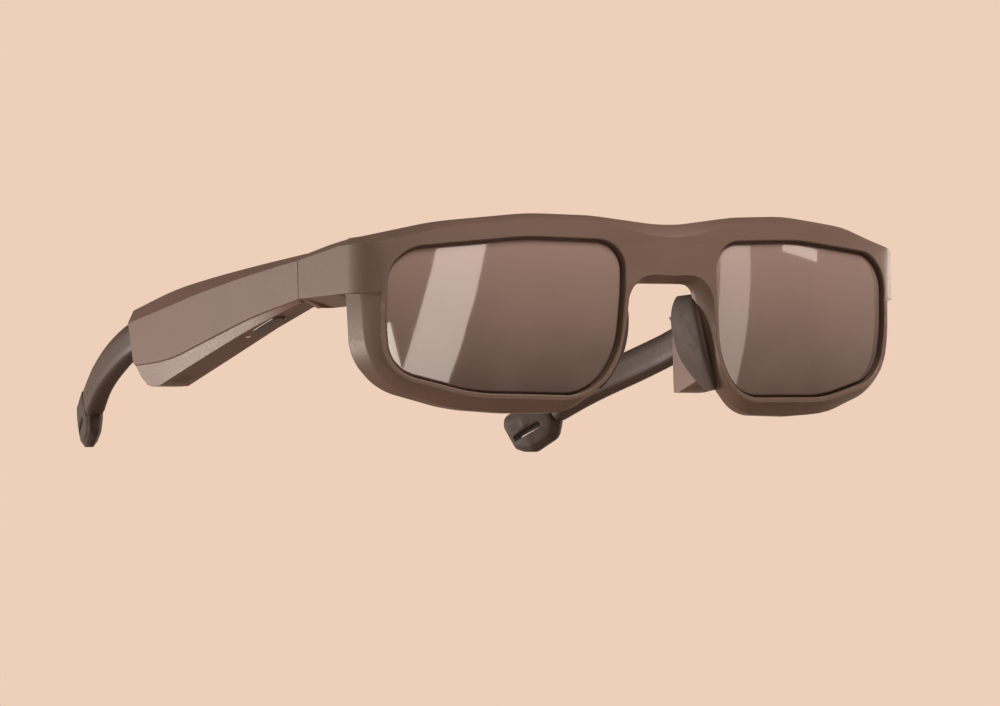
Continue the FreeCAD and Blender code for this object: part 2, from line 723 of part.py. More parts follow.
def build():
    lens = make_lens()
    front_leaf, front_screws, front_leaf_blank, leaf_relief = make_front_leaf()
    pin = make_hinge_pin()
    head_room = knuckle_at("pin_head_room", "Sizes.hinge_high", "Sizes.hinge_high + 3",
                           "Sizes.pin_head_radius + Sizes.knuckle_gap")
    front, front_blank = make_front([make_opening(), make_lens_groove()],
                                    [front_leaf_blank, front_screws, leaf_relief, head_room])
    keep(front, "front_frame")
    keep_pair(lens, "lens")
    keep_pair(make_nose_pad(front_blank), "nose_pad")
    keep_pair(front_leaf, "hinge_front_leaf")
    keep_pair(front_screws, "front_leaf_screws")
    keep_pair(pin, "hinge_pin")

    temple_leaf, temple_screws, temple_leaf_blank = make_temple_leaf()
    blank, limit = make_temple_blank()
    cavity = make_cavity()
    hook, hook_blank, core = make_hook(limit)
    inner = size("inner_x")
    split = inner + size("cover")
    cover_side = slab("cover_side", (inner - 5, -60, 0), (split, 60, 60))
    relief = knuckle_at("temple_relief", "Sizes.hinge_low - 0.3", "Sizes.hinge_high + 3",
                        "Sizes.knuckle_relief")
    cover_screws = group("cover_screws", [
        headed_pin("cover_screw_%d" % index, "Sizes.screw_radius", "Sizes.cover_screw_length",
                   "Sizes.screw_head_radius", "Sizes.screw_head", V(inner, y, z), V(1, 0, 0))
        for index, (y, z) in enumerate(COVER_SCREWS)])
    rear_y, rear_z = COVER_SCREWS[1]
    boss = cylinder("screw_boss", "Sizes.boss_radius", "Sizes.boss_length", V(split, rear_y, rear_z),
                    V(1, 0, 0))

    contacts = []
    magnets = []
    for index, side in enumerate((-1, 1)):
        spot = inside_frame(inner, 2.0 + side * size("contact_pitch") / 2).Base
        contacts.append(cylinder("contact_%d" % index, "Sizes.contact_radius", "Sizes.cover", spot,
                                 V(1, 0, 0)))
        far = inside_frame(split, 2.0 + side * (size("contact_pitch") / 2 + 4.5)).Base
        magnets.append(cylinder("magnet_%d" % index, "Sizes.magnet_radius", "Sizes.magnet", far,
                                V(1, 0, 0)))
    contact_pair = group("contact_pair", contacts)
    magnet_pair = group("magnet_pair", magnets)

    key = make_key()
    key_spot = underside_frame(key_y())
    key_hole = oval_cutter("key_hole", "key_span", size("key_radius") + size("key_play"), -3.0,
                           size("key_depth") + 1, key_spot)
    key_room = oval_cutter("key_room", "key_span",
                           size("key_radius") + size("key_flange") + size("key_play"),
                           size("key_depth") - 0.05, 5.0, key_spot)
    grille = make_grille()
    grille_spot = underside_frame(grille_y())
    grille_seat = oval_cutter("grille_seat", "grille_span", size("grille_radius"), -3.0, size("grille"),
                              grille_spot)
    grille_port = oval_cutter("grille_port", "grille_span", size("port_radius"), 0.0, 4.0, grille_spot)
    pipe_spot = underside_frame(-13.5)
    pipe = cylinder("light_pipe", "Sizes.pipe_radius", "Sizes.wall", pipe_spot.Base,
                    pipe_spot.Rotation.multVec(V(0, 0, 1)))
    mic_spot = underside_frame(-10.0)
    mic_hole = cylinder("mic_hole", "Sizes.pipe_radius", "3 * Sizes.wall",
                        mic_spot.multVec(V(0, 0, -2)), mic_spot.Rotation.multVec(V(0, 0, 1)))
    cutters = fuse("temple_cutters", [
        temple_leaf_blank, temple_screws, relief, hook_blank, cover_screws, contact_pair,
        key_hole, key_room, grille_seat, grille_port, pipe, mic_hole])
    cover = cut("temple_cover", common("cover_blank", blank, cover_side), cutters)
    hollow = fuse("shell_hollow", [cut("cavity_round_boss", cavity, boss), cover_side])
    shell = cut("temple_shell", cut("shell_blank", blank, hollow), cutters)

    keep_pair(shell, "temple_shell")
    keep_pair(cover, "temple_cover")
    keep_pair(cover_screws, "cover_screws")
    keep_pair(temple_leaf, "hinge_temple_leaf")
    keep_pair(temple_screws, "temple_leaf_screws")
    keep_pair(hook, "ear_hook")
    keep_pair(core, "hook_core")
    keep_pair(make_tip(hook_blank), "ear_tip")
    keep_pair(key, "control_key")
    switch_depth = size("key_depth") + size("key_flange") + size("key_travel") + 0.1
    switch_depth += size("switch_height") / 2
    keep_pair(cuboid("key_switch", "switch_size", "switch_width", "switch_height",
                     underside_frame(key_y(), switch_depth)), "key_switch")
    keep_pair(make_board(), "circuit_board")
    shield_x = size("board_x") + size("board") + size("shield_depth") / 2
    keep_pair(cuboid("radio_shield", "shield_depth", "shield_length", "shield_height",
                     inside_frame(shield_x, -15.0)), "radio_shield")
    battery_x = size("board_x") + size("board") + 0.2 + size("battery_depth") / 2
    keep_pair(cuboid("battery", "battery_depth", "battery_length", "battery_height",
                     inside_frame(battery_x, 3.0)), "battery")
    keep_pair(cuboid("speaker", "speaker_depth", "speaker_length", "speaker_height",
                     inside_frame(71.0, 19.3)), "speaker")
    keep_pair(grille, "speaker_grille")
    keep_pair(cuboid("microphone", "mic_size", "mic_size", "mic_height",
                     underside_frame(-10.0, size("wall") + size("mic_height") / 2 + 0.05)), "microphone")
    keep_pair(pipe, "light_pipe")
    keep_pair(contact_pair, "charge_contacts")
    keep_pair(magnet_pair, "charge_magnets")


def check_document():
    faults = [item.Name for item in doc.Objects if "Invalid" in item.State or "Error" in item.State]
    for item in nodes:
        if item.Shape.isNull() or not item.Shape.isValid() or not item.Shape.Solids:
            faults.append(item.Label)
    if faults:
        raise RuntimeError("failed objects: " + ", ".join(faults))


def write_parts():
    os.makedirs("parts", exist_ok=True)
    for item in nodes:
        item.Shape.exportStep("parts/%s.step" % item.Label)
        print("%-26s %d solids %9.2f mm3" % (item.Label, len(item.Shape.Solids), item.Shape.Volume))


build()
doc.recompute()
check_document()
write_parts()
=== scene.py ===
import json
from math import acos, atan2, cos, pi, radians, sin, sqrt, tan

import bmesh
import bpy
from mathutils import Matrix, Vector


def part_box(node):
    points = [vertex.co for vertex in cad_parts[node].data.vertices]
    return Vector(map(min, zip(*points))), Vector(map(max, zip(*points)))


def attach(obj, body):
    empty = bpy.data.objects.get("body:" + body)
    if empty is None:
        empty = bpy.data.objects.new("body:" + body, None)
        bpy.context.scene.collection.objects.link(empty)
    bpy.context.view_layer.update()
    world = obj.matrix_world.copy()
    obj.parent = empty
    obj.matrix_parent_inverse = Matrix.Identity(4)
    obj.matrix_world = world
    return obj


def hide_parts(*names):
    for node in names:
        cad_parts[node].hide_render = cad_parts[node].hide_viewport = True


# Smart glasses around the CAD frame. Shapes are worked out in millimetres and stored in metres.
# +X is the wearer's left, -Y is forward and +Z is up. Left-hand pieces are made first, and the same
# function makes the right-hand ones with X turned round.

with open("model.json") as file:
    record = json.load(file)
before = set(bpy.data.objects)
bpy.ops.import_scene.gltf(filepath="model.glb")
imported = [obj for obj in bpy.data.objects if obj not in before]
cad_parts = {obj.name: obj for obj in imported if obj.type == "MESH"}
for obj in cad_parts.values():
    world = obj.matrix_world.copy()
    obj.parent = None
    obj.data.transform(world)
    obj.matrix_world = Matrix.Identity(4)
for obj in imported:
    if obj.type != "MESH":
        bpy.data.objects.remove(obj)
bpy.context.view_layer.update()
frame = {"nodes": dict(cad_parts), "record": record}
MM = 0.001
SIDES = (("left", 1), ("right", -1))


def box_mm(node):
    low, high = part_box(node)
    return Vector(low) / MM, Vector(high) / MM


front_high = box_mm("front_frame")[1]
leaf_low = box_mm("hinge_front_leaf_left")[0]
cover_low, cover_high = box_mm("temple_cover_left")
SIDE_X = front_high.x
HINGE_Y = front_high.y
# The endpiece's inner face leaves room for the hinge leaf, measured from the leaf's inner side.
LEAF_ROOM = 1.4
ENDPIECE_INNER = leaf_low.x + LEAF_ROOM

# Surfaces of the front: two lens spheres, the frame's front sphere and its back sphere.
SPHERE_Y = 63.55
SPHERE_Z = 34.0
LENS_OUTER = 148.0
LENS_INNER = 146.0
FRAME_OUTER = 149.5
BACK_Y = 59.35
BACK_RADIUS = 139.3
# The rounded corner runs from the front face at CORNER_START to the flat side at CORNER_END_Y. Next
# come the lengths of its curve's two handles, and how often the search for a point on it halves.
CORNER_START = 67.0
CORNER_END_Y = -60.3
CORNER_LEAD = 3.4
CORNER_TRAIL = 4.4
BISECTIONS = 30
# Underside of the endpiece at the side, and how much lower it lies at the inner face.
ENDPIECE_FLOOR = 27.7
UNDERSIDE_DROP = 2.2
# Where the rim's own sections stop at the side, and the endpiece takes over.
PANEL_END_Y = -58.0

# Outlines in the front view, as corners: X, Z and the corner's radius.
LENS_CORNERS = [
    (12.4, 38.8, 6.5), (36.0, 39.7, 60.0), (66.2, 37.2, 8.5), (66.7, 20.0, 40.0), (65.4, 9.8, 9.0),
    (47.0, 4.6, 40.0), (19.6, 3.9, 11.0), (13.6, 14.0, 20.0), (12.6, 27.0, 40.0),
]
FRONT_CORNERS = [
    (0.0, 43.0, 0.0), (3.2, 43.0, 50.0), (19.0, 45.0, 45.0), (34.0, 45.6, 60.0), (54.0, 43.9, 50.0),
    (69.3, 40.6, 0.0), (72.5, 38.7, 0.0), (72.5, ENDPIECE_FLOOR, 0.0), (71.8, ENDPIECE_FLOOR, 0.0),
    (70.7, 13.2, 14.0), (64.6, 5.6, 14.0), (50.0, 1.0, 40.0), (38.0, 0.0, 40.0), (22.5, 0.0, 12.0),
    (14.8, 7.6, 14.0), (11.3, 18.0, 30.0), (8.2, 29.6, 3.0), (0.0, 29.6, 0.0),
]


# ---------------------------------------------------------------- outlines

SNAP_REACH = 0.12


def rounded(corners, step=0.5):
    """Closed outline through the corners, each rounded by an arc of its own radius, as points."""
    points = []
    count = len(corners)
    for index, (u, v, radius) in enumerate(corners):
        here = Vector((u, v))
        before = (Vector(corners[index - 1][:2]) - here).normalized()
        after = (Vector(corners[(index + 1) % count][:2]) - here).normalized()
        half = acos(max(-1.0, min(1.0, before.dot(after)))) / 2
        if radius == 0 or half > pi / 2 - 0.002:
            points.append(here)
            continue
        middle = (before + after).normalized()
        centre = here + middle * (radius / sin(half))
        start = here + before * (radius / tan(half)) - centre
        sweep = pi - 2 * half
        turn = 1 if before.cross(after) < 0 else -1
        parts = max(3, int(sweep * radius / step))
        for part in range(parts + 1):
            angle = turn * sweep * part / parts
            points.append(centre + Matrix.Rotation(angle, 2) @ start)
    return points


def lengths(points):
    """Distance along the polyline to each of its points."""
    total = [0.0]
    for a, b in zip(points, points[1:]):
        total.append(total[-1] + (b - a).length)
    return total


def resampled(points, count, closed=False):
    """The polyline as evenly spaced points: count + 1 of them if open and count if closed."""
    run = points + points[:1] if closed else points
    marks = lengths(run)
    out = []
    spot = 0
    for index in range(count if closed else count + 1):
        target = marks[-1] * index / count
        while spot < len(marks) - 2 and marks[spot + 1] < target:
            spot += 1
        gap = marks[spot + 1] - marks[spot]
        share = 0 if gap == 0 else (target - marks[spot]) / gap
        out.append(run[spot].lerp(run[spot + 1], share))
    return out


def dense(corners, step=0.1):
    """The rounded outline as closely and evenly spaced points."""
    outline = rounded(corners)
    total = lengths(outline + outline[:1])[-1]
    return resampled(outline, int(total / step), closed=True)


def nearest(outline, target):
    goal = Vector(target)
    return min(range(len(outline)), key=lambda index: (outline[index] - goal).length)


def stretch(outline, start, end, count):
    """Evenly spaced points of a closed outline from one landmark up to, but not with, the next."""
    first = nearest(outline, start)
    last = nearest(outline, end)
    if last <= first:
        last += len(outline)
    run = [outline[index % len(outline)] for index in range(first, last + 1)]
    run[0] = snapped(run[0], start)
    run[-1] = snapped(run[-1], end)
    return resampled(run, count)[:-1]


def snapped(spot, target):
    """The landmark itself where it lies on the outline, and otherwise the outline's own point."""
    goal = Vector(target)
    return goal if (goal - spot).length < SNAP_REACH else spot


def smooth_row(stations, at):
    """Smooth cubic through rows whose first entry is the place; returns the other entries there."""
    places = [row[0] for row in stations]
    at = min(max(at, places[0]), places[-1])
    spot = max(index for index in range(len(places) - 1) if places[index] <= at)
    width = places[spot + 1] - places[spot]
    share = (at - places[spot]) / width
    out = []
    for column in range(1, len(stations[0])):
        values = [row[column] for row in stations]
        slopes = [(values[i + 1] - values[i]) / (places[i + 1] - places[i])
                  for i in range(len(places) - 1)]

        def tangent(index):
            if index == 0:
                return slopes[0]
            if index == len(places) - 1:
                return slopes[-1]
            return (slopes[index - 1] + slopes[index]) / 2

        leave, arrive = tangent(spot) * width, tangent(spot + 1) * width
        out.append((2 * share ** 3 - 3 * share ** 2 + 1) * values[spot]
                   + (share ** 3 - 2 * share ** 2 + share) * leave
                   + (3 * share ** 2 - 2 * share ** 3) * values[spot + 1]
                   + (share ** 3 - share ** 2) * arrive)
    return out


# ---------------------------------------------------------------- meshes

MERGE_REACH = 0.004


def make_mesh(name, points, faces, side=1, both=False):
    """Mesh object from points in millimetres, for one side (1 or -1, which turns X round) or both."""
    mesh = bmesh.new()
    for sign in ((1, -1) if both else (side,)):
        verts = [mesh.verts.new((p[0] * sign * MM, p[1] * MM, p[2] * MM)) for p in points]
        for face in faces:
            corners = []
            for index in face:
                if verts[index] not in corners:
                    corners.append(verts[index])
            if len(corners) > 2:
                mesh.faces.new(corners)
    bmesh.ops.remove_doubles(mesh, verts=mesh.verts, dist=MERGE_REACH * MM)
    bmesh.ops.dissolve_degenerate(mesh, dist=MERGE_REACH / 2 * MM, edges=mesh.edges)
    bmesh.ops.recalc_face_normals(mesh, faces=mesh.faces)
    data = bpy.data.meshes.new(name)
    mesh.to_mesh(data)
    mesh.free()
    data.polygons.foreach_set("use_smooth", [True] * len(data.polygons))
    piece = bpy.data.objects.new(name, data)
    bpy.context.scene.collection.objects.link(piece)
    return piece


def strip_faces(first, second, closed=False):
    """Quads between two rows of point numbers."""
    count = len(first)
    return [(first[i], first[(i + 1) % count], second[(i + 1) % count], second[i])
            for i in range(count if closed else count - 1)]


def rows_faces(rows, closed=False):
    """Strips of faces from each row of points to the next."""
    faces = []
    for first, second in zip(rows, rows[1:]):
        faces += strip_faces(first, second, closed)
    return faces


def soften_edges(piece, width, angle, segments=2):
    """Small round on every edge sharper than the angle, in millimetres and degrees."""
    bevel = piece.modifiers.new("soft_edges", "BEVEL")
    bevel.width = width * MM
    bevel.segments = segments
    bevel.limit_method = "ANGLE"
    bevel.angle_limit = radians(angle)
    bevel.use_clamp_overlap = True
    weighted = piece.modifiers.new("even_normals", "WEIGHTED_NORMAL")
    weighted.keep_sharp = False
    weighted.weight = 60


def subdivide(piece, levels=2):
    smooth = piece.modifiers.new("subdivision", "SUBSURF")
    smooth.levels = levels
    smooth.render_levels = levels


def finish_piece(piece, body, slot, material, *nodes):
    """Gives the piece its material (the slot argument is not used), and puts it on its body in place of the
    CAD nodes.
    """
    piece.data.materials.clear()
    piece.data.materials.append(material)
    if nodes:
        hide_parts(*nodes)
    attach(piece, body)


# ---------------------------------------------------------------- materials

def linear(red, green, blue):
    """sRGB 0-255 to linear."""
    def one(value):
        value /= 255
        return value / 12.92 if value <= 0.04045 else ((value + 0.055) / 1.055) ** 2.4
    return one(red), one(green), one(blue), 1.0


def shaded(colour, factor):
    return tuple(channel * factor for channel in colour[:3]) + (1.0,)


def ranged(tree, source, low, high, start, end):
    """Node that takes the source from the range start to end into the range low to high."""
    node = tree.nodes.new("ShaderNodeMapRange")
    for name, value in (("From Min", start), ("From Max", end), ("To Min", low), ("To Max", high)):
        node.inputs[name].default_value = value
    tree.links.new(source, node.inputs["Value"])
    return node


class Nodes:
    """Small helper that adds and links shader nodes."""

    def __init__(self, name):
        self.material = bpy.data.materials.new(name)
        self.material.use_nodes = True
        self.tree = self.material.node_tree
        self.shader = self.tree.nodes["Principled BSDF"]
        self.output = self.tree.nodes["Material Output"]
        self.place = self.add("ShaderNodeTexCoord").outputs["Object"]

    def add(self, kind, **values):
        node = self.tree.nodes.new(kind)
        for name, value in values.items():
            setattr(node, name, value)
        return node

    def link(self, source, target):
        self.tree.links.new(source, target)

    def noise(self, scale, detail=3.0, roughness=0.5, stretch=(1, 1, 1)):
        mapping = self.add("ShaderNodeMapping")
        mapping.inputs["Scale"].default_value = stretch
        self.link(self.place, mapping.inputs["Vector"])
        node = self.add("ShaderNodeTexNoise")
        node.inputs["Scale"].default_value = scale
        node.inputs["Detail"].default_value = detail
        node.inputs["Roughness"].default_value = roughness
        self.link(mapping.outputs["Vector"], node.inputs["Vector"])
        return node.outputs["Fac"]

    def ramp(self, source, low, high, start=0.0, end=1.0):
        return ranged(self.tree, source, low, high, start, end).outputs["Result"]

    def blend(self, factor, first, second):
        node = self.add("ShaderNodeMix", data_type="RGBA")
        for socket, value in ((node.inputs[6], first), (node.inputs[7], second)):
            if isinstance(value, tuple):
                socket.default_value = value
            else:
                self.link(value, socket)
        self.link(factor, node.inputs[0])
        return node.outputs[2]

    def bump(self, source, distance, strength):
        node = self.add("ShaderNodeBump")
        node.inputs["Strength"].default_value = strength
        node.inputs["Distance"].default_value = distance * MM
        self.link(source, node.inputs["Height"])
        return node.outputs["Normal"]

    def edges(self, sharp=0.56, wide=0.62):
        geometry = self.add("ShaderNodeNewGeometry")
        return self.ramp(geometry.outputs["Pointiness"], 0.0, 1.0, sharp, wide)


def moulded(name, colour, rough, grain, wear_and_edge_highlight=0.35, specular=0.32, mottle=0.04):
    """Moulded plastic: slow colour drift, fine grain, uneven gloss, and edges painted lighter, partly as
    rubbed wear and partly as a painted edge highlight.
    """
    nodes = Nodes(name)
    drift = nodes.noise(90, 3.0)
    speck = nodes.noise(2600, 2.0, 0.6)
    body = nodes.blend(nodes.ramp(drift, 0.0, 1.0, 0.3, 0.7), shaded(colour, 1 - mottle),
                       shaded(colour, 1 + mottle))
    speckled = nodes.blend(nodes.ramp(speck, 0.0, 0.35, 0.45, 0.75), body, shaded(colour, 1.18))
    # Sharp edges painted lighter: partly rubbed wear, partly a painted edge highlight along creases.
    rubbed_and_highlit = nodes.ramp(nodes.edges(), 0.0, wear_and_edge_highlight)
    nodes.link(nodes.blend(rubbed_and_highlit, speckled, shaded(colour, 1.7)), nodes.shader.inputs["Base Color"])
    nodes.link(nodes.ramp(nodes.noise(1400, 3.0), rough - 0.03, rough + 0.05, 0.3, 0.7),
               nodes.shader.inputs["Roughness"])
    nodes.link(nodes.bump(speck, grain, 0.6), nodes.shader.inputs["Normal"])
    nodes.shader.inputs["Specular IOR Level"].default_value = specular
    return nodes.material


def soft_grip(name, colour):
    """Soft overmoulded rubber: very fine pebble and a dull sheen."""
    nodes = Nodes(name)
    pebble = nodes.noise(3400, 1.5, 0.5)
    dust = nodes.noise(260, 4.0, 0.65)
    body = nodes.blend(nodes.ramp(dust, 0.0, 1.0, 0.35, 0.7), shaded(colour, 0.9), shaded(colour, 1.15))
    # Sharp edges painted lighter: partly rubbed wear, partly a painted edge highlight.
    nodes.link(nodes.blend(nodes.ramp(nodes.edges(), 0.0, 0.3), body, shaded(colour, 1.6)),
               nodes.shader.inputs["Base Color"])
    nodes.link(nodes.ramp(dust, 0.58, 0.75, 0.3, 0.7), nodes.shader.inputs["Roughness"])
    nodes.link(nodes.bump(pebble, 0.03, 0.7), nodes.shader.inputs["Normal"])
    nodes.shader.inputs["Specular IOR Level"].default_value = 0.35
    nodes.shader.inputs["Sheen Weight"].default_value = 0.08
    return nodes.material


def metal(name, colour, rough, stretch=(1, 14, 1)):
    """Brushed or turned metal: long fine scratches that vary the gloss."""
    nodes = Nodes(name)
    lines = nodes.noise(1500, 4.0, 0.6, stretch)
    stain = nodes.noise(160, 3.0)
    body = nodes.blend(nodes.ramp(stain, 0.0, 1.0, 0.3, 0.7), shaded(colour, 0.85), shaded(colour, 1.1))
    nodes.link(nodes.blend(nodes.ramp(lines, 0.0, 0.5, 0.4, 0.7), body, shaded(colour, 0.7)),
               nodes.shader.inputs["Base Color"])
    nodes.link(nodes.ramp(lines, rough - 0.08, rough + 0.14, 0.3, 0.7), nodes.shader.inputs["Roughness"])
    nodes.link(nodes.bump(lines, 0.012, 0.5), nodes.shader.inputs["Normal"])
    nodes.shader.inputs["Metallic"].default_value = 1.0
    return nodes.material


def tinted_lens(name, upper, lower):
    """Tinted lens: brown-grey, lighter towards the top and darker towards the bottom, under a hard polished
    face, with a little light let through.
    """
    nodes = Nodes(name)
    height = nodes.add("ShaderNodeSeparateXYZ")
    nodes.link(nodes.place, height.inputs["Vector"])
    grade = nodes.ramp(height.outputs["Z"], 0.0, 1.0, 3 * MM, 40 * MM)
    tint = nodes.blend(grade, lower, upper)
    cloud = nodes.noise(60, 2.0)
    nodes.link(nodes.blend(nodes.ramp(cloud, 0.0, 0.25, 0.4, 0.8), tint, upper),
               nodes.shader.inputs["Base Color"])
    nodes.link(nodes.ramp(nodes.noise(300, 5.0, 0.7), 0.03, 0.06, 0.3, 0.7), nodes.shader.inputs["Roughness"])
    nodes.shader.inputs["Specular IOR Level"].default_value = 0.55
    nodes.shader.inputs["Coat Weight"].default_value = 0.6
    nodes.shader.inputs["Coat Roughness"].default_value = 0.02
    clear = nodes.add("ShaderNodeBsdfTransparent")
    clear.inputs["Color"].default_value = linear(176, 140, 118)
    mixed = nodes.add("ShaderNodeMixShader")
    mixed.inputs["Fac"].default_value = 0.16
    nodes.link(nodes.shader.outputs["BSDF"], mixed.inputs[1])
    nodes.link(clear.outputs["BSDF"], mixed.inputs[2])
    nodes.link(mixed.outputs["Shader"], nodes.output.inputs["Surface"])
    return nodes.material


def make_materials():
    return {
        "frame_plastic": moulded("frame_plastic", linear(106, 86, 79), rough=0.46, grain=0.02),
        "rim_plastic": moulded("rim_plastic", linear(101, 84, 75), rough=0.46, grain=0.015),
        "tinted_lens": tinted_lens("tinted_lens", linear(150, 130, 124), linear(86, 75, 69)),
        "soft_grip": soft_grip("soft_grip", linear(54, 43, 37)),
        # The hook's colour is set far darker than the frame plastic to paint in the shade on the near hook.
        "hook_plastic": moulded("hook_plastic", linear(60, 48, 41), rough=0.52, grain=0.015),
        "hinge_steel": metal("hinge_steel", linear(190, 186, 180), rough=0.32),
        "screw_steel": metal("screw_steel", linear(176, 172, 168), rough=0.28, stretch=(14, 14, 14)),
        "key_plastic": moulded("key_plastic", linear(66, 57, 52), rough=0.32, grain=0.01),
        "inner_plastic": moulded("inner_plastic", linear(48, 48, 50), rough=0.5, grain=0.02),
        "board": moulded("board", linear(34, 92, 62), rough=0.35, grain=0.03, wear_and_edge_highlight=0.1),
        "shield_metal": metal("shield_metal", linear(200, 198, 194), rough=0.38, stretch=(1, 1, 1)),
        "cell_wrap": moulded("cell_wrap", linear(150, 152, 156), rough=0.35, grain=0.02),
        "grille_metal": moulded("grille_metal", linear(66, 54, 48), rough=0.4, grain=0.02, wear_and_edge_highlight=0.5),
        "light_pipe": moulded("light_pipe", linear(226, 220, 212), rough=0.2, grain=0.004, wear_and_edge_highlight=0.0,
                              specular=0.6),
        "contact_gold": metal("contact_gold", linear(214, 176, 104), rough=0.22, stretch=(8, 8, 8)),
    }


# ---------------------------------------------------------------- front frame

def on_sphere(radius, x, z, centre=SPHERE_Y):
    """Y of a sphere's front at (X, Z). Its centre lies on the middle plane, at SPHERE_Z."""
    return centre - sqrt(radius ** 2 - x ** 2 - (z - SPHERE_Z) ** 2)


CORNER_LEAD_Y = on_sphere(FRAME_OUTER, CORNER_START, SPHERE_Z)
LEAD_SLOPE = Vector((1.0, CORNER_START / sqrt(FRAME_OUTER ** 2 - CORNER_START ** 2))).normalized()


def corner_curve(share):
    """Plan view of the rounded corner, from the front face (share 0) to the flat side (share 1)."""
    start, end = Vector((CORNER_START, CORNER_LEAD_Y)), Vector((SIDE_X, CORNER_END_Y))
    lead = start + LEAD_SLOPE * CORNER_LEAD
    trail = end - Vector((0, CORNER_TRAIL))
    rest = 1 - share
    return (start * rest ** 3 + lead * 3 * share * rest ** 2 + trail * 3 * share ** 2 * rest
            + end * share ** 3)


def corner_y(x):
    """Y of the rounded corner's plan curve at X."""
    low, high = 0.0, 1.0
    for _ in range(BISECTIONS):
        middle = (low + high) / 2
        if corner_curve(middle).x < x:
            low = middle
        else:
            high = middle
    return corner_curve(low).y


def front_y(x, z):
    """Front face of the frame: a sphere that runs into the rounded corners."""
    if x <= CORNER_START:
        return on_sphere(FRAME_OUTER, x, z)
    drop = on_sphere(FRAME_OUTER, CORNER_START, z) - CORNER_LEAD_Y
    fade = max(0.0, 1 - (x - CORNER_START) / (SIDE_X - CORNER_START))
    return corner_y(min(x, SIDE_X)) + drop * fade


def back_y(x, z):
    """Back face of the rims: a sphere of its own."""
    return on_sphere(BACK_RADIUS, x, z, BACK_Y)


# Landmarks that tie the outer outline to the lens opening: outer (X, Z), opening (X, Z), number of
# spans up to the next one, bevel width, bevel depth, and how far the bevel's rear edge is set in.
LANDMARKS = [
    ((0.0, 43.0), (14.2, 37.1), 24, 3.1, 2.2, 0.0),
    ((19.0, 44.6), (21.0, 39.1), 16, 1.8, 2.8, 0.0),
    ((34.0, 45.5), (35.0, 39.6), 22, 1.4, 3.2, 0.0),
    ((54.0, 43.8), (53.0, 38.4), 22, 1.5, 3.8, 0.0),
    ((69.3, 40.6), (63.5, 37.3), 1, 2.0, 6.4, 0.0),
    ((72.5, 38.7), (65.7, 35.9), 10, 9.0, 6.0, 0.0),
    ((72.5, ENDPIECE_FLOOR), (66.4, 27.4), 1, 9.0, 6.0, 0.0),
    ((71.8, ENDPIECE_FLOOR), (66.45, 26.4), 12, 9.0, 2.6, 1.2),
    ((71.05, 18.0), (66.65, 18.0), 32, 9.0, 2.4, 0.9),
    ((62.2, 4.8), (60.6, 7.9), 20, 9.0, 3.6, 0.5),
    ((50.0, 1.3), (48.4, 5.1), 18, 9.0, 4.0, 0.0),
    ((37.0, 0.0), (37.0, 4.4), 18, 9.0, 4.0, 0.0),
    ((25.0, 0.0), (24.6, 4.1), 24, 9.0, 3.6, 0.0),
    ((15.9, 6.8), (16.6, 8.2), 22, 2.6, 4.6, 0.0),
    ((11.1, 18.6), (13.5, 17.0), 14, 2.6, 5.0, 0.0),
    ((9.2, 26.6), (12.75, 25.6), 18, 2.4, 4.8, 0.0),
    ((0.0, 29.6), (12.5, 33.0), 8, 1.6, 2.4, 0.0),
]
RIDGE_MARK = 4
CREASE_MARK = 5
FLOOR_MARK = 6
BRIDGE_MARK = 16
# Wall of the lens groove and its broken front edge, out from the opening, and then how far behind
# the front face the wall ends and starts. BACK_LIP is the opening's edge at the back.
GROOVE_WALL = 0.3
GROOVE_TOP = 0.55
GROOVE_DEPTH = 2.6
GROOVE_BREAK = 0.25
BACK_LIP = 0.25
# Least flat strip between the opening and the bevel, how far the bevel bows out, and the least flat
# edge behind it.
STRIP_EDGE = 1.4
BEVEL_BOW = 0.12
EDGE_LAND = 0.6
# Back point next to the opening: most distance out from it, and most share of the rim's width.
BACK_REACH = 1.3
BACK_SHARE = 0.6
# The same point behind the ridge: out from the endpiece's inner face, and down from the ridge.
RIDGE_BACK_OUT = 1.0
RIDGE_BACK_DROP = 0.2
# The bridge on the centre plane: top and bottom of its front face, and then of its back face.
SCOOP_FLOOR = 39.9
BRIDGE_LIP = 31.2
BRIDGE_BACK_TOP = 41.3
BRIDGE_BACK_BOTTOM = 30.6
# How far outside CORNER_START the side's front face starts, and the rim's back ends.
SIDE_CREASE = 0.9
SIDE_WALL = 0.3
CORNER_LIFT = 0.06
# Places of a section's middle points along the bevel, and round the corner's plan curve.
BEVEL_SPOTS = (0.2, 0.4, 0.6, 0.76, 0.9)
CORNER_SPOTS = (0.34, 0.48, 0.62, 0.76, 0.88)
BEVEL_START = 3
BEVEL_END = BEVEL_START + len(BEVEL_SPOTS) + 2
# Y stations of the endpiece, and the notch in its inner face at the rear.
ENDPIECE_Y = (-57.4, -55.0, -50.0, -45.5)
NOTCH_LENGTH = 2.25
NOTCH_X = 67.35
NOTCH_STEP = 0.05


class Sample:
    """One place round the rim: the outer outline point, the opening point and the section's sizes."""

    def __init__(self, outer, lens, width, depth, inset, upright, zone):
        self.outer = outer
        self.lens = lens
        self.normal = None
        self.upright = upright
        self.width = width
        self.depth = depth
        self.inset = inset
        self.zone = zone


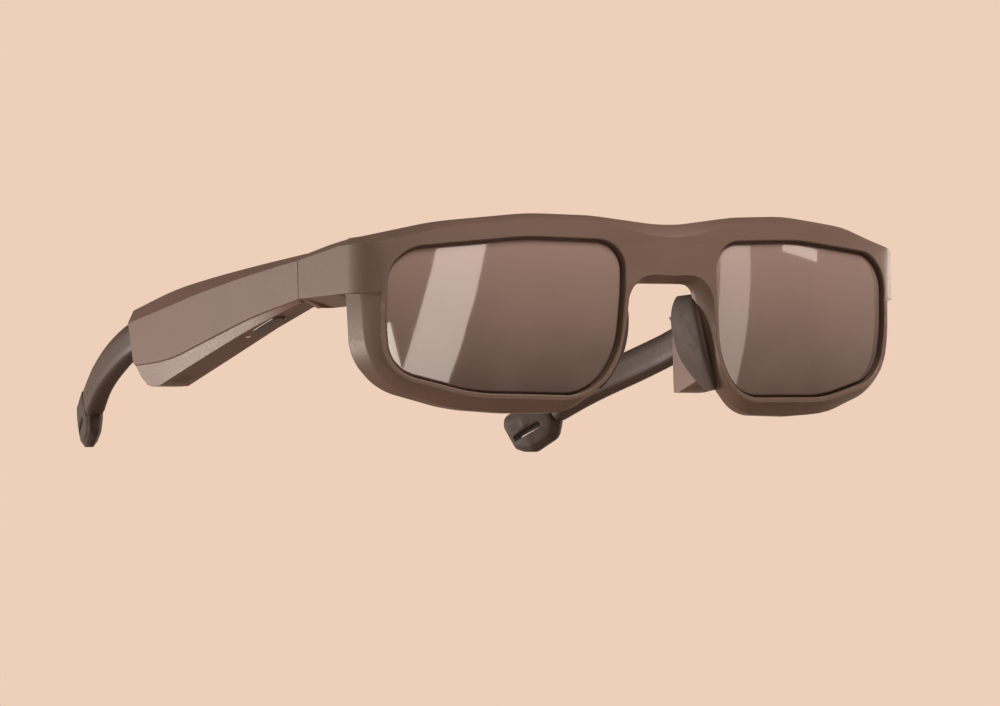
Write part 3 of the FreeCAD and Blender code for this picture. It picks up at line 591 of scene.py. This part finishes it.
def rim_samples():
    outer_loop = dense(FRONT_CORNERS)
    lens_loop = dense(LENS_CORNERS)
    samples = []
    for index, (outer, lens, count, width, depth, inset) in enumerate(LANDMARKS):
        following = LANDMARKS[(index + 1) % len(LANDMARKS)]
        outer_points = stretch(outer_loop, outer, following[0], count)
        lens_points = stretch(lens_loop, lens, following[1], count)
        for step in range(count):
            share = step / count
            mark = index + share
            if index == RIDGE_MARK:
                zone = "ridge"
            elif CREASE_MARK <= mark <= FLOOR_MARK:
                zone = "side"
            elif mark >= BRIDGE_MARK or mark == 0:
                zone = "bridge"
            else:
                zone = "rim"
            ease = share * share * (3 - 2 * share)
            upright = Vector((0.0, 1.0)) * (1 - ease) if index == 0 else Vector((0.0, 0.0))
            if index == BRIDGE_MARK - 1:
                upright = Vector((0.0, -1.0)) * ease
            sizes = [value + (after - value) * ease
                     for value, after in zip((width, depth, inset), following[3:])]
            samples.append(Sample(outer_points[step], lens_points[step], *sizes, upright, zone))
    count = len(samples)
    for index, sample in enumerate(samples):
        along = samples[(index + 1) % count].lens - samples[index - 1].lens
        sample.normal = Vector((-along.y, along.x)).normalized()
    return samples


def lifted(z, share):
    """Height on the corner: the endpiece's lines rise a little on their way round to the brow."""
    return ENDPIECE_FLOOR + (z - ENDPIECE_FLOOR) * (1 + CORNER_LIFT * (1 - share))


def rim_section(sample, share):
    """Points of the rim's section, from inside the lens groove over the front and round to the back."""
    lens, outer, normal = sample.lens, sample.outer, sample.normal
    reach = (outer - lens).length
    along = (outer - lens) / reach
    wall = lens + normal * GROOVE_WALL
    top = lens + normal * GROOVE_TOP
    if sample.zone == "bridge":
        crease = Vector((0.0, SCOOP_FLOOR + (BRIDGE_LIP - SCOOP_FLOOR) * share))
    elif sample.zone == "side":
        crease = Vector((CORNER_START + SIDE_CREASE, lifted(outer.y, 0.0)))
    else:
        lean = (along * (1 - sample.upright.length) + sample.upright).normalized()
        crease = outer - lean * min(sample.width, reach - STRIP_EDGE)
    section = [
        (wall.x, front_y(*wall) + GROOVE_DEPTH, wall.y),
        (wall.x, front_y(*wall) + GROOVE_BREAK, wall.y),
        (top.x, front_y(*top), top.y),
        (crease.x, front_y(*crease), crease.y),
    ]
    back = PANEL_END_Y if sample.zone in ("side", "ridge") else back_y(*outer)
    if sample.zone == "side":
        for spot in CORNER_SPOTS:
            plan = corner_curve(spot)
            section.append((plan.x, plan.y, lifted(outer.y, spot)))
        section.append((SIDE_X, CORNER_END_Y, outer.y))
        section.append((SIDE_X, back, outer.y))
        section.append((CORNER_START + SIDE_WALL, back_y(CORNER_START, outer.y), outer.y))
    else:
        rear = outer - along * sample.inset
        rear_y = front_y(*rear) + sample.depth
        start = Vector(section[-1])
        end = Vector((rear.x, rear_y, rear.y))
        bulge = Vector((along.x, 0, along.y)) * BEVEL_BOW - Vector((0, BEVEL_BOW, 0))
        for spot in BEVEL_SPOTS:
            section.append(tuple(start.lerp(end, spot) + bulge * (4 * spot * (1 - spot))))
        section.append(tuple(end))
        section.append((outer.x, max(back, rear_y + EDGE_LAND), outer.y))
        inner = lens + along * min(BACK_REACH, reach * BACK_SHARE)
        if sample.zone == "ridge":
            inner = Vector((ENDPIECE_INNER + RIDGE_BACK_OUT, outer.y - RIDGE_BACK_DROP))
        if sample.zone == "bridge":
            inner = Vector((0.0, BRIDGE_BACK_TOP + (BRIDGE_BACK_BOTTOM - BRIDGE_BACK_TOP) * share))
        section.append((inner.x, back_y(*inner), inner.y))
    lip = lens + normal * BACK_LIP
    section.append((lip.x, back_y(*lip), lip.y))
    return section


def endpiece_row(y):
    """Ridge and crease heights and the ridge's inset along the endpiece."""
    return smooth_row([(-62.0, 40.7, 39.1, 3.0), (-52.0, 39.7, 37.9, 2.5), (-40.0, 38.0, 36.5, 2.3)], y)


def front_mesh():
    """Points and faces of the left half of the front: the rim all round, then the endpiece."""
    samples = rim_samples()
    bridge = [index for index, sample in enumerate(samples) if sample.zone == "bridge"]
    order = [index for index in bridge if index > 0] + [0]
    shares = {index: 1 - place / (len(order) - 1) for place, index in enumerate(order)}
    points = []
    rows = []
    for index, sample in enumerate(samples):
        section = rim_section(sample, shares.get(index, 0.0))
        rows.append(list(range(len(points), len(points) + len(section))))
        points += section
    faces = []
    count = len(rows)
    steps = len(rows[0])
    for index in range(count):
        here, after = samples[index], samples[(index + 1) % count]
        bridge_span = here.zone == "bridge" and after.zone == "bridge"
        side_span = here.zone in ("ridge", "side") and after.zone in ("ridge", "side")
        for step in range(steps):
            if bridge_span and BEVEL_START <= step <= BEVEL_END:
                continue
            if side_span and step == BEVEL_END:
                continue
            a, b = rows[index], rows[(index + 1) % count]
            faces.append((a[step], a[(step + 1) % steps], b[(step + 1) % steps], b[step]))
    side = [index for index, sample in enumerate(samples) if sample.zone in ("ridge", "side")]
    outer_row = [rows[index][BEVEL_END] for index in side]
    inner_row = [rows[index][BEVEL_END + 1] for index in side]
    heights = [samples[index].outer.y for index in side[1:]]
    fractions = [(height - ENDPIECE_FLOOR) / (heights[0] - ENDPIECE_FLOOR) for height in heights]
    notch = HINGE_Y - NOTCH_LENGTH
    stations = [(y, ENDPIECE_INNER) for y in ENDPIECE_Y + (notch - NOTCH_STEP,)]
    stations += [(notch, NOTCH_X), (HINGE_Y, NOTCH_X)]
    for y, inner_x in stations:
        ridge, crease, inset = endpiece_row(y)
        new_outer = [(SIDE_X - inset, y, ridge)]
        new_inner = [(inner_x, y, ridge)]
        for fraction in fractions:
            z = ENDPIECE_FLOOR + (crease - ENDPIECE_FLOOR) * fraction
            new_outer.append((SIDE_X, y, z))
            new_inner.append((inner_x, y, z - UNDERSIDE_DROP * (1 - fraction)))
        start = len(points)
        points += new_outer + new_inner
        next_outer = list(range(start, start + len(new_outer)))
        next_inner = list(range(start + len(new_outer), len(points)))
        loop = outer_row + inner_row[::-1]
        next_loop = next_outer + next_inner[::-1]
        faces += strip_faces(loop, next_loop, closed=True)
        outer_row, inner_row = next_outer, next_inner
    faces += strip_faces(outer_row, inner_row)
    return points, faces


def make_front(materials):
    points, faces = front_mesh()
    piece = make_mesh("front_frame_visual", points, faces, both=True)
    soften_edges(piece, 0.18, 15)
    finish_piece(piece, "front", "frame_plastic", materials["rim_plastic"], "front_frame")


# ---------------------------------------------------------------- lenses

LENS_CENTRE = (39.5, 21.5)
LENS_SPANS = 220
LENS_SCALES = (0.99, 0.97, 0.93, 0.86, 0.76, 0.64, 0.5, 0.35, 0.2, 0.08)
# The lens's edge from its face into the groove: distance out from the opening, depth behind the face.
LENS_EDGE = ((-0.5, 0.0), (-0.34, 0.1), (-0.26, 0.3), (-0.26, 1.0), (0.45, 1.1))


def make_lens(side_name, sign, materials):
    """Lens shell whose polished edge sits in the rim's groove."""
    loop = resampled(dense(LENS_CORNERS), LENS_SPANS, closed=True)
    count = len(loop)
    normals = []
    for index in range(count):
        along = loop[(index + 1) % count] - loop[index - 1]
        normals.append(Vector((-along.y, along.x)).normalized())
    centre = Vector(LENS_CENTRE)
    points = []
    rows = []

    def ring(offset, radius, depth=0.0, scale=1.0):
        row = []
        for spot, normal in zip(loop, normals):
            place = centre + (spot + normal * offset - centre) * scale
            row.append(len(points))
            points.append((place.x, on_sphere(radius, place.x, place.y) + depth, place.y))
        rows.append(row)

    for scale in reversed(LENS_SCALES):
        ring(LENS_EDGE[0][0], LENS_OUTER, 0.0, scale)
    for offset, depth in LENS_EDGE:
        ring(offset, LENS_OUTER, depth)
    ring(LENS_EDGE[-1][0], LENS_INNER)
    ring(LENS_EDGE[0][0], LENS_INNER)
    for scale in LENS_SCALES:
        ring(LENS_EDGE[0][0], LENS_INNER, 0.0, scale)
    faces = rows_faces(rows, closed=True)
    for row in (rows[0], rows[-1]):
        middle = len(points)
        depth = on_sphere(LENS_OUTER if row is rows[0] else LENS_INNER, centre.x, centre.y)
        points.append((centre.x, depth, centre.y))
        faces += [(row[i], row[(i + 1) % count], middle) for i in range(count)]
    piece = make_mesh("lens_visual_" + side_name, points, faces, sign)
    finish_piece(piece, "front", "tinted_lens", materials["tinted_lens"], "lens_" + side_name)


# ---------------------------------------------------------------- nose pads

NOSE_PAD_AROUND = 12
NOSE_PAD_SQUARE = 0.35
NOSE_PAD_ROWS = [
    # Z, X at the front edge, X at the rear edge, Y front, Y rear, thickness
    (27.6, 8.3, 8.8, -79.6, -71.2, 2.4),
    (24.0, 7.8, 8.8, -81.4, -68.0, 3.0),
    (19.0, 8.1, 9.4, -82.2, -67.2, 3.4),
    (13.0, 9.4, 11.2, -82.0, -67.4, 3.4),
    (8.4, 12.0, 14.4, -80.6, -69.2, 3.0),
    (5.4, 14.2, 16.4, -78.6, -72.0, 2.2),
]


def make_nose_pad(side_name, sign, materials):
    """Soft pad: a bowed leaf that leans outwards to the rear, rounded on every edge."""
    points = []
    rows = []
    around = NOSE_PAD_AROUND
    for z, front_x, rear_x, front, rear, thick in NOSE_PAD_ROWS:
        row = []
        middle = Vector(((front_x + rear_x) / 2 + thick / 2, (front + rear) / 2))
        long_axis = Vector((rear_x - front_x, rear - front)) / 2
        across = Vector((long_axis.y, -long_axis.x)).normalized() * (thick / 2)
        for step in range(around):
            angle = 2 * pi * step / around
            spread = Vector((cos(angle), sin(angle)))
            squared = 1 / max(abs(spread.x), abs(spread.y)) ** NOSE_PAD_SQUARE
            place = middle + long_axis * spread.x * squared + across * spread.y * squared
            row.append(len(points))
            points.append((place.x, place.y, z))
        rows.append(row)
    faces = rows_faces(rows, closed=True)
    for row in (rows[0], rows[-1]):
        half = around // 2
        faces += [(row[i], row[i + 1], row[(around - i - 1) % around], row[(around - i) % around])
                  for i in range(half)]
    piece = make_mesh("nose_pad_visual_" + side_name, points, faces, sign)
    subdivide(piece)
    finish_piece(piece, "front", "soft_grip", materials["soft_grip"], "nose_pad_" + side_name)


# ---------------------------------------------------------------- temple boxes

# Y, outer X, then the heights of the ridge, bevel crease, ledge crease and underside.
TEMPLE_STATIONS = [
    (-39.8, 72.5, 38.1, 36.5, 27.5, 26.9),
    (-20.0, 73.9, 36.5, 34.2, 24.2, 22.2),
    (0.0, 74.8, 34.7, 31.5, 19.8, 16.8),
    (15.0, 75.0, 33.0, 29.1, 16.9, 12.8),
    (36.5, 75.0, 29.0, 25.8, 16.2, 7.0),
]
TEMPLE_FLOOR = 11.2
# Side outline of the rear end, as corners: Y, Z and the corner's radius.
TEMPLE_REAR = [
    (-45.0, 50.0, 0.0), (35.0, 50.0, 0.0), (34.8, 29.8, 3.2), (33.0, 25.6, 1.0), (31.3, 17.4, 3.0),
    (27.2, TEMPLE_FLOOR, 5.5), (-45.0, TEMPLE_FLOOR, 0.0),
]
BEVEL_INSET = 2.4
LEDGE_INSET = 1.0
LEDGE_STEP = 0.35
# Shares of the way up: the slanted strip below the ledge, and the panel above it.
STRIP_SHARES = (0.0, 0.1, 0.5, 0.9, 1.0)
PANEL_SHARES = (0.025, 0.09, 0.2, 0.4, 0.6, 0.8, 0.94, 1.0)
# The inner face lies COVER_GAP outside the cover. To the rear it follows a line that runs outwards
# from the cover's inner side at TAPER_START. LEAST_TOP is the thickness that stays everywhere.
COVER_GAP = 0.02
TAPER_START = 23.4
TAPER_SLOPE = 0.6
LEAST_TOP = 0.5
TEMPLE_FRONT_Y = -39.8
TEMPLE_SPANS = 44
# Search for a line's rear end: its first Y, its rounds, the share of the gap that each one closes,
# and how far above the floor it stays.
END_SEARCH_START = 33.0
END_SEARCH_ROUNDS = 40
END_SEARCH_SHARE = 0.6
FLOOR_MARGIN = 0.05


def rear_limit(outline, z):
    """Rearmost Y of the box at a height, from its rounded side outline."""
    best = None
    for a, b in zip(outline, outline[1:]):
        if (a.y - z) * (b.y - z) <= 0 and a.y != b.y:
            y = a.x + (b.x - a.x) * (z - a.y) / (b.y - a.y)
            best = y if best is None else max(best, y)
    return best


def temple_line(spec, y):
    """X and Z of one lengthwise line at Y."""
    outer, ridge, crease, ledge, underside = smooth_row(TEMPLE_STATIONS, y)
    low, high, share, inset = spec
    heights = {"ridge": ridge, "crease": crease, "ledge": ledge, "underside": max(underside, TEMPLE_FLOOR)}
    return outer - inset, heights[low] + (heights[high] - heights[low]) * share


def line_end(outline, spec):
    """Y at which a lengthwise line meets the rear outline."""
    y = END_SEARCH_START
    for _ in range(END_SEARCH_ROUNDS):
        z = temple_line(spec, y)[1]
        limit = rear_limit(outline, max(z, TEMPLE_FLOOR + FLOOR_MARGIN))
        y += (limit - y) * END_SEARCH_SHARE
    return y


def temple_specs():
    """The box's lengthwise lines: the two heights that each lies between, its share and its inset."""
    specs = [("underside", "ledge", share, LEDGE_INSET + (LEDGE_STEP - LEDGE_INSET) * share)
             for share in STRIP_SHARES]
    specs += [("ledge", "crease", share, 0.0) for share in PANEL_SHARES]
    specs += [("crease", "ridge", share, BEVEL_INSET * share) for share in (0.5, 1.0)]
    return specs


def make_temple_shell(side_name, sign, materials):
    """Outer temple box: bevelled top, flat panel, stepped ledge and a slanted rounded rear end."""
    outline = dense(TEMPLE_REAR, 0.2)
    points = []
    outer_rows = []
    inner_rows = []
    for spec in temple_specs():
        end = line_end(outline, spec)
        outer_row = []
        inner_row = []
        for step in range(TEMPLE_SPANS + 1):
            y = TEMPLE_FRONT_Y + (end - TEMPLE_FRONT_Y) * step / TEMPLE_SPANS
            x, z = temple_line(spec, y)
            outer_row.append(len(points))
            points.append((x, y, z))
            inner_row.append(len(points))
            taper_x = max(cover_high.x + COVER_GAP, cover_low.x + (y - TAPER_START) * TAPER_SLOPE)
            points.append((min(taper_x, x - LEAST_TOP), y, z))
        outer_rows.append(outer_row)
        inner_rows.append(inner_row)
    faces = rows_faces(outer_rows) + rows_faces(inner_rows)
    faces += strip_faces(outer_rows[0], inner_rows[0])
    faces += strip_faces(outer_rows[-1], inner_rows[-1])
    for place in (0, -1):
        faces += strip_faces([row[place] for row in outer_rows], [row[place] for row in inner_rows])
    piece = make_mesh("temple_shell_visual_" + side_name, points, faces, sign)
    soften_edges(piece, 0.3, 20, 3)
    finish_piece(piece, side_name + "_temple", "frame_plastic", materials["frame_plastic"],
                 "temple_shell_" + side_name)


# ---------------------------------------------------------------- ear hooks

# X, Y, Z, height and thickness along the hook.
HOOK_STATIONS = [
    (72.9, 27.0, 24.4, 7.4, 3.6),
    (72.6, 36.0, 22.0, 7.4, 4.0),
    (70.4, 47.0, 18.9, 7.5, 4.3),
    (67.5, 57.0, 15.9, 7.4, 4.5),
    (65.2, 63.7, 13.5, 7.3, 4.6),
    (62.6, 70.7, 10.55, 7.2, 4.8),
]
# Steps along the hook and round it, and how square its section is.
HOOK_SPANS = 24
HOOK_AROUND = 20
HOOK_SQUARE = 5
TIP_LENGTH = 15.6
TIP_LOW = 7.4
# Side outline of the tip, as corners: distance along, height and radius.
TIP_CORNERS = [
    (0.0, 3.6, 0.3), (14.6, 3.7, 2.0), (TIP_LENGTH, 1.6, 2.0), (14.3, -4.5, 1.8), (12.2, -6.2, 2.0),
    (9.6, -TIP_LOW, 3.0), (2.2, -6.9, 3.0), (0.0, -3.7, 0.8),
]
# The strap slot: its middle, half its length, half its height and its corner radius.
TIP_SLOT = (8.9, -2.5)
TIP_SLOT_REACH = 4.5
TIP_SLOT_HALF = 0.7
TIP_SLOT_RADIUS = 0.69
TIP_DEPTH = 4.8
TIP_ROUND = 1.2
TIP_SPANS = 120
ROUND_STEPS = 5
# Tip section from the slot outwards: share of the way to the rounded rim, and drop below full depth.
TIP_PROFILE = ((0.0, 0.35), (0.06, 0.02), (0.3, 0.0), (0.65, 0.0))
TIP_END_START = 9.0
TIP_END_THINNING = 0.45
TIP_EDGE_THINNING = 0.28


def hook_axes(stations, index):
    """A station's place and its axes: along the hook, its height and its thickness."""
    here = Vector(stations[index][:3])
    before = Vector(stations[max(index - 1, 0)][:3])
    after = Vector(stations[min(index + 1, len(stations) - 1)][:3])
    along = (after - before).normalized()
    side = along.cross(Vector((0, 0, 1))).normalized()
    return here, along, side.cross(along), side


def make_ear_hook(side_name, sign, materials):
    """Ear hook: a smooth bar with a flattened oval section that runs from the box into the soft tip."""
    stations = [smooth_hook(step / HOOK_SPANS) for step in range(HOOK_SPANS + 1)]
    points = []
    rows = []
    for index, station in enumerate(stations):
        here, along, height, side = hook_axes(stations, index)
        row = []
        for step in range(HOOK_AROUND):
            angle = 2 * pi * step / HOOK_AROUND
            lift = cos(angle)
            out = sin(angle)
            flat = (abs(lift) ** HOOK_SQUARE + abs(out) ** HOOK_SQUARE) ** (-1 / HOOK_SQUARE)
            place = here + height * (lift * flat * station[3] / 2) + side * (out * flat * station[4] / 2)
            row.append(len(points))
            points.append(tuple(place))
        rows.append(row)
    faces = rows_faces(rows, closed=True)
    faces += [tuple(rows[0]), tuple(rows[-1])]
    piece = make_mesh("ear_hook_visual_" + side_name, points, faces, sign)
    finish_piece(piece, side_name + "_temple", "hook_plastic", materials["hook_plastic"],
                 "ear_hook_" + side_name)


def smooth_hook(share):
    """Hook section at a share of its length: X, Y, Z, height and thickness, eased through the stations."""
    marks = [index / (len(HOOK_STATIONS) - 1) for index in range(len(HOOK_STATIONS))]
    return smooth_row([(mark,) + station for mark, station in zip(marks, HOOK_STATIONS)], share)


def make_ear_tip(side_name, sign, materials):
    """Soft tip: a rounded paddle over the end of the hook, pierced by a long strap slot."""
    here, along, height, side = hook_axes(HOOK_STATIONS, len(HOOK_STATIONS) - 1)
    count = TIP_SPANS
    outline = resampled(dense(TIP_CORNERS), count, closed=True)
    u, v = TIP_SLOT
    slot_corners = [(u + right * TIP_SLOT_REACH, v + up * TIP_SLOT_HALF, TIP_SLOT_RADIUS)
                    for right, up in ((-1, 1), (1, 1), (1, -1), (-1, -1))]
    slot = resampled(dense(slot_corners, 0.05), count, closed=True)
    middle = Vector((u, v))
    matched = []
    for target in outline:
        angle = atan2(target.y - v, target.x - u)
        ray = Vector((cos(angle), sin(angle)))
        matched.append(max(slot, key=lambda spot: (spot - middle).normalized().dot(ray)))
    half = TIP_DEPTH / 2
    points = []
    rows = []

    def place(spot, depth):
        beyond = (spot.x - TIP_END_START) / (TIP_LENGTH - TIP_END_START)
        thinned = 1 - TIP_END_THINNING * max(0.0, beyond)
        thinned *= 1 - TIP_EDGE_THINNING * max(0.0, -spot.y / TIP_LOW)
        return tuple(here + along * spot.x + height * spot.y + side * (depth * thinned))

    for index in range(count):
        outer = outline[index]
        inner = matched[index]
        normal = (outer - inner).normalized()
        rim = outer - normal * TIP_ROUND
        row = []
        section = [(inner.lerp(rim, share), half - drop) for share, drop in TIP_PROFILE]
        for step in range(ROUND_STEPS + 1):
            turn = cos(pi / 2 * step / ROUND_STEPS)
            section.append((outer - normal * TIP_ROUND * turn, half - TIP_ROUND + TIP_ROUND * turn))
        mirrored = [(spot, -depth) for spot, depth in reversed(section)]
        for spot, depth in section + mirrored:
            row.append(len(points))
            points.append(place(spot, depth))
        rows.append(row)
    faces = []
    for index in range(count):
        faces += strip_faces(rows[index], rows[(index + 1) % count], closed=True)
    piece = make_mesh("ear_tip_visual_" + side_name, points, faces, sign)
    finish_piece(piece, side_name + "_temple", "soft_grip", materials["soft_grip"], "ear_tip_" + side_name)


# ---------------------------------------------------------------- carried-over CAD nodes

def dress_cad_nodes(materials):
    """CAD nodes whose shape is already right keep it, and get their slot's material."""
    slots = {entry["node"]: entry["material_slot"] for entry in frame["record"]["subparts"]}
    replaced = ("front_frame", "lens_", "nose_pad_", "temple_shell_", "ear_hook_", "ear_tip_")
    for name, node in frame["nodes"].items():
        if name.startswith(replaced):
            continue
        node.data.materials.clear()
        node.data.materials.append(materials[slots[name]])


# ---------------------------------------------------------------- stage, lights and camera

VIEW_TURN = radians(31.0)
VIEW_TILT = radians(3.65)
VIEW_ROLL = radians(0.72)
CAMERA_DISTANCE = 7.5
SENSOR_WIDTH = 36
# Width of the picture at the object, and where the camera aims, seen from a point at the front.
FRAME_WIDTH = 229.4
AIM_FROM = (0, -72.5, 0)
AIM_RIGHT = -33.26
AIM_UP = 14.15
FLOOR_Z = -2.5
FLOOR_SIDES = 48
FLOOR_RADII = (0.001, 0.5, 1.6)
FLOOR_TONE = (236, 206, 185)
BACKDROP_TONE = (238, 208, 186)
# Backdrop strengths: at the range's start and end, and then the range. The first is taken along the
# view, and the others by height.
BACKDROP_DEPTH = (0.55, 1.0, -0.1, 0.9)
BACKDROP_BELOW = (0.3, 1.0, -0.5, -0.06)
BACKDROP_ABOVE = (1.0, 0.2, 0.1, 0.45)
LIGHT_TARGET = (0, -0.04, 0.02)
WARM = (1.0, 0.86, 0.77)
# Light over the floor: its height above it, its side and its power.
WASH_HEIGHT = 1.3
WASH_WIDTH = 2.0
WASH_POWER = 30
# Lights, in metres and watts: name, middle of the low edge, middle of the high edge, width and power.
LIGHTS = (
    ("key_left", (-1.25, 1.2, -0.55), (-1.25, 1.2, -0.05), 0.8, 33),
    ("front_soft", (0.2, -1.25, 0.9), (0.2, -0.9, 1.3), 0.8, 24),
    ("rim_right", (1.4, 0.5, -0.2), (1.4, 0.5, 0.5), 0.5, 9),
    ("near_band", (-0.316, -0.982, -0.33), (-0.183, -1.06, 0.19), 0.16, 1.5),
    ("near_crescent", (-0.395, -0.962, -0.34), (-0.462, -0.975, -0.11), 0.075, 0.5),
    ("far_band", (0.69, -0.765, -0.29), (0.738, -0.769, 0.19), 0.125, 0.5),
    ("far_glint", (0.872, -0.614, 0.142), (0.956, -0.478, 0.117), 0.03, 0.06),
)


def view_axes():
    """The camera's axes: right, up and back towards the camera."""
    right = Vector((cos(VIEW_TURN), -sin(VIEW_TURN) * cos(VIEW_TILT), -sin(VIEW_TURN) * sin(VIEW_TILT)))
    up = Vector((0, -sin(VIEW_TILT), cos(VIEW_TILT)))
    right.normalize()
    back = right.cross(up).normalized()
    up = back.cross(right)
    turn = Matrix.Rotation(VIEW_ROLL, 3, back)
    return turn @ right, turn @ up, back


def make_camera():
    """Long-lens camera in front of the wearer's right side, a little below the object."""
    right, up, back = view_axes()
    aim = (Vector(AIM_FROM) + right * AIM_RIGHT + up * AIM_UP) * MM
    data = bpy.data.cameras.new("camera")
    data.sensor_width = SENSOR_WIDTH
    data.lens = SENSOR_WIDTH * CAMERA_DISTANCE / (FRAME_WIDTH * MM)
    data.clip_end = 50
    camera = bpy.data.objects.new("camera", data)
    bpy.context.scene.collection.objects.link(camera)
    basis = Matrix((right, up, back)).transposed().to_4x4()
    camera.matrix_world = Matrix.Translation(aim + back * CAMERA_DISTANCE) @ basis
    bpy.context.scene.camera = camera


def make_floor():
    """Round pale floor, well below both the object and the camera."""
    nodes = Nodes("studio_paper")
    tone = linear(*FLOOR_TONE)
    fibre = nodes.noise(30, 4.0)
    nodes.link(nodes.blend(nodes.ramp(fibre, 0.0, 1.0, 0.3, 0.7), shaded(tone, 0.985), shaded(tone, 1.015)),
               nodes.shader.inputs["Base Color"])
    nodes.shader.inputs["Roughness"].default_value = 0.95
    nodes.shader.inputs["Specular IOR Level"].default_value = 0.1
    mesh = bmesh.new()
    rings = []
    angles = [2 * pi * step / FLOOR_SIDES for step in range(FLOOR_SIDES)]
    for radius in FLOOR_RADII:
        rings.append([mesh.verts.new((radius * cos(angle), radius * sin(angle), FLOOR_Z))
                      for angle in angles])
    for corners in rows_faces(rings, closed=True):
        mesh.faces.new(corners)
    data = bpy.data.meshes.new("floor")
    mesh.to_mesh(data)
    mesh.free()
    floor = bpy.data.objects.new("floor", data)
    data.materials.append(nodes.material)
    bpy.context.scene.collection.objects.link(floor)


def add_light(name, power, width, length, basis, middle):
    """Warm rectangular light with its middle and its axes given."""
    data = bpy.data.lights.new(name, "AREA")
    data.shape = "RECTANGLE"
    data.size = width
    data.size_y = length
    data.energy = power
    data.color = WARM
    lamp = bpy.data.objects.new(name, data)
    bpy.context.scene.collection.objects.link(lamp)
    lamp.matrix_world = Matrix.Translation(middle) @ basis


def area_light(name, low, high, width, power):
    """Rectangular light whose long sides run from low to high, and which faces the object."""
    low, high = Vector(low), Vector(high)
    middle = (low + high) / 2
    upright = (high - low).normalized()
    back = middle - Vector(LIGHT_TARGET)
    back = (back - upright * back.dot(upright)).normalized()
    basis = Matrix((upright.cross(back), upright, back)).transposed().to_4x4()
    add_light(name, power, width, (high - low).length, basis, middle)


def make_lights():
    """A wide light that faces down keeps the floor pale, and the rest face the object."""
    above_floor = Vector((0, 0, FLOOR_Z + WASH_HEIGHT))
    add_light("floor_wash", WASH_POWER, WASH_WIDTH, WASH_WIDTH, Matrix.Identity(4), above_floor)
    for light in LIGHTS:
        area_light(*light)


def multiplied(tree, first, second):
    node = tree.nodes.new("ShaderNodeMath")
    node.operation = "MULTIPLY"
    tree.links.new(first, node.inputs[0])
    tree.links.new(second, node.inputs[1])
    return node.outputs["Value"]


def make_world():
    """Pale studio: bright behind the object, and dimmer in front of it, above it and below it."""
    world = bpy.data.worlds.new("studio")
    bpy.context.scene.world = world
    world.use_nodes = True
    tree = world.node_tree
    place = tree.nodes.new("ShaderNodeTexCoord").outputs["Generated"]
    facing = tree.nodes.new("ShaderNodeVectorMath")
    facing.operation = "DOT_PRODUCT"
    facing.inputs[1].default_value = (sin(VIEW_TURN), cos(VIEW_TURN), 0)
    tree.links.new(place, facing.inputs[0])
    level = ranged(tree, facing.outputs["Value"], *BACKDROP_DEPTH)
    level.interpolation_type = "SMOOTHSTEP"
    height = tree.nodes.new("ShaderNodeSeparateXYZ")
    tree.links.new(place, height.inputs["Vector"])
    below = ranged(tree, height.outputs["Z"], *BACKDROP_BELOW)
    above = ranged(tree, height.outputs["Z"], *BACKDROP_ABOVE)
    ends = multiplied(tree, below.outputs["Result"], above.outputs["Result"])
    background = tree.nodes["Background"]
    background.inputs["Color"].default_value = linear(*BACKDROP_TONE)
    tree.links.new(multiplied(tree, level.outputs["Result"], ends), background.inputs["Strength"])


# ---------------------------------------------------------------- build

materials = make_materials()
make_front(materials)
for side_name, sign in SIDES:
    make_lens(side_name, sign, materials)
    make_nose_pad(side_name, sign, materials)
    make_temple_shell(side_name, sign, materials)
    make_ear_hook(side_name, sign, materials)
    make_ear_tip(side_name, sign, materials)
dress_cad_nodes(materials)
make_camera()
make_floor()
make_world()
make_lights()
bpy.context.scene.view_settings.view_transform = "Standard"
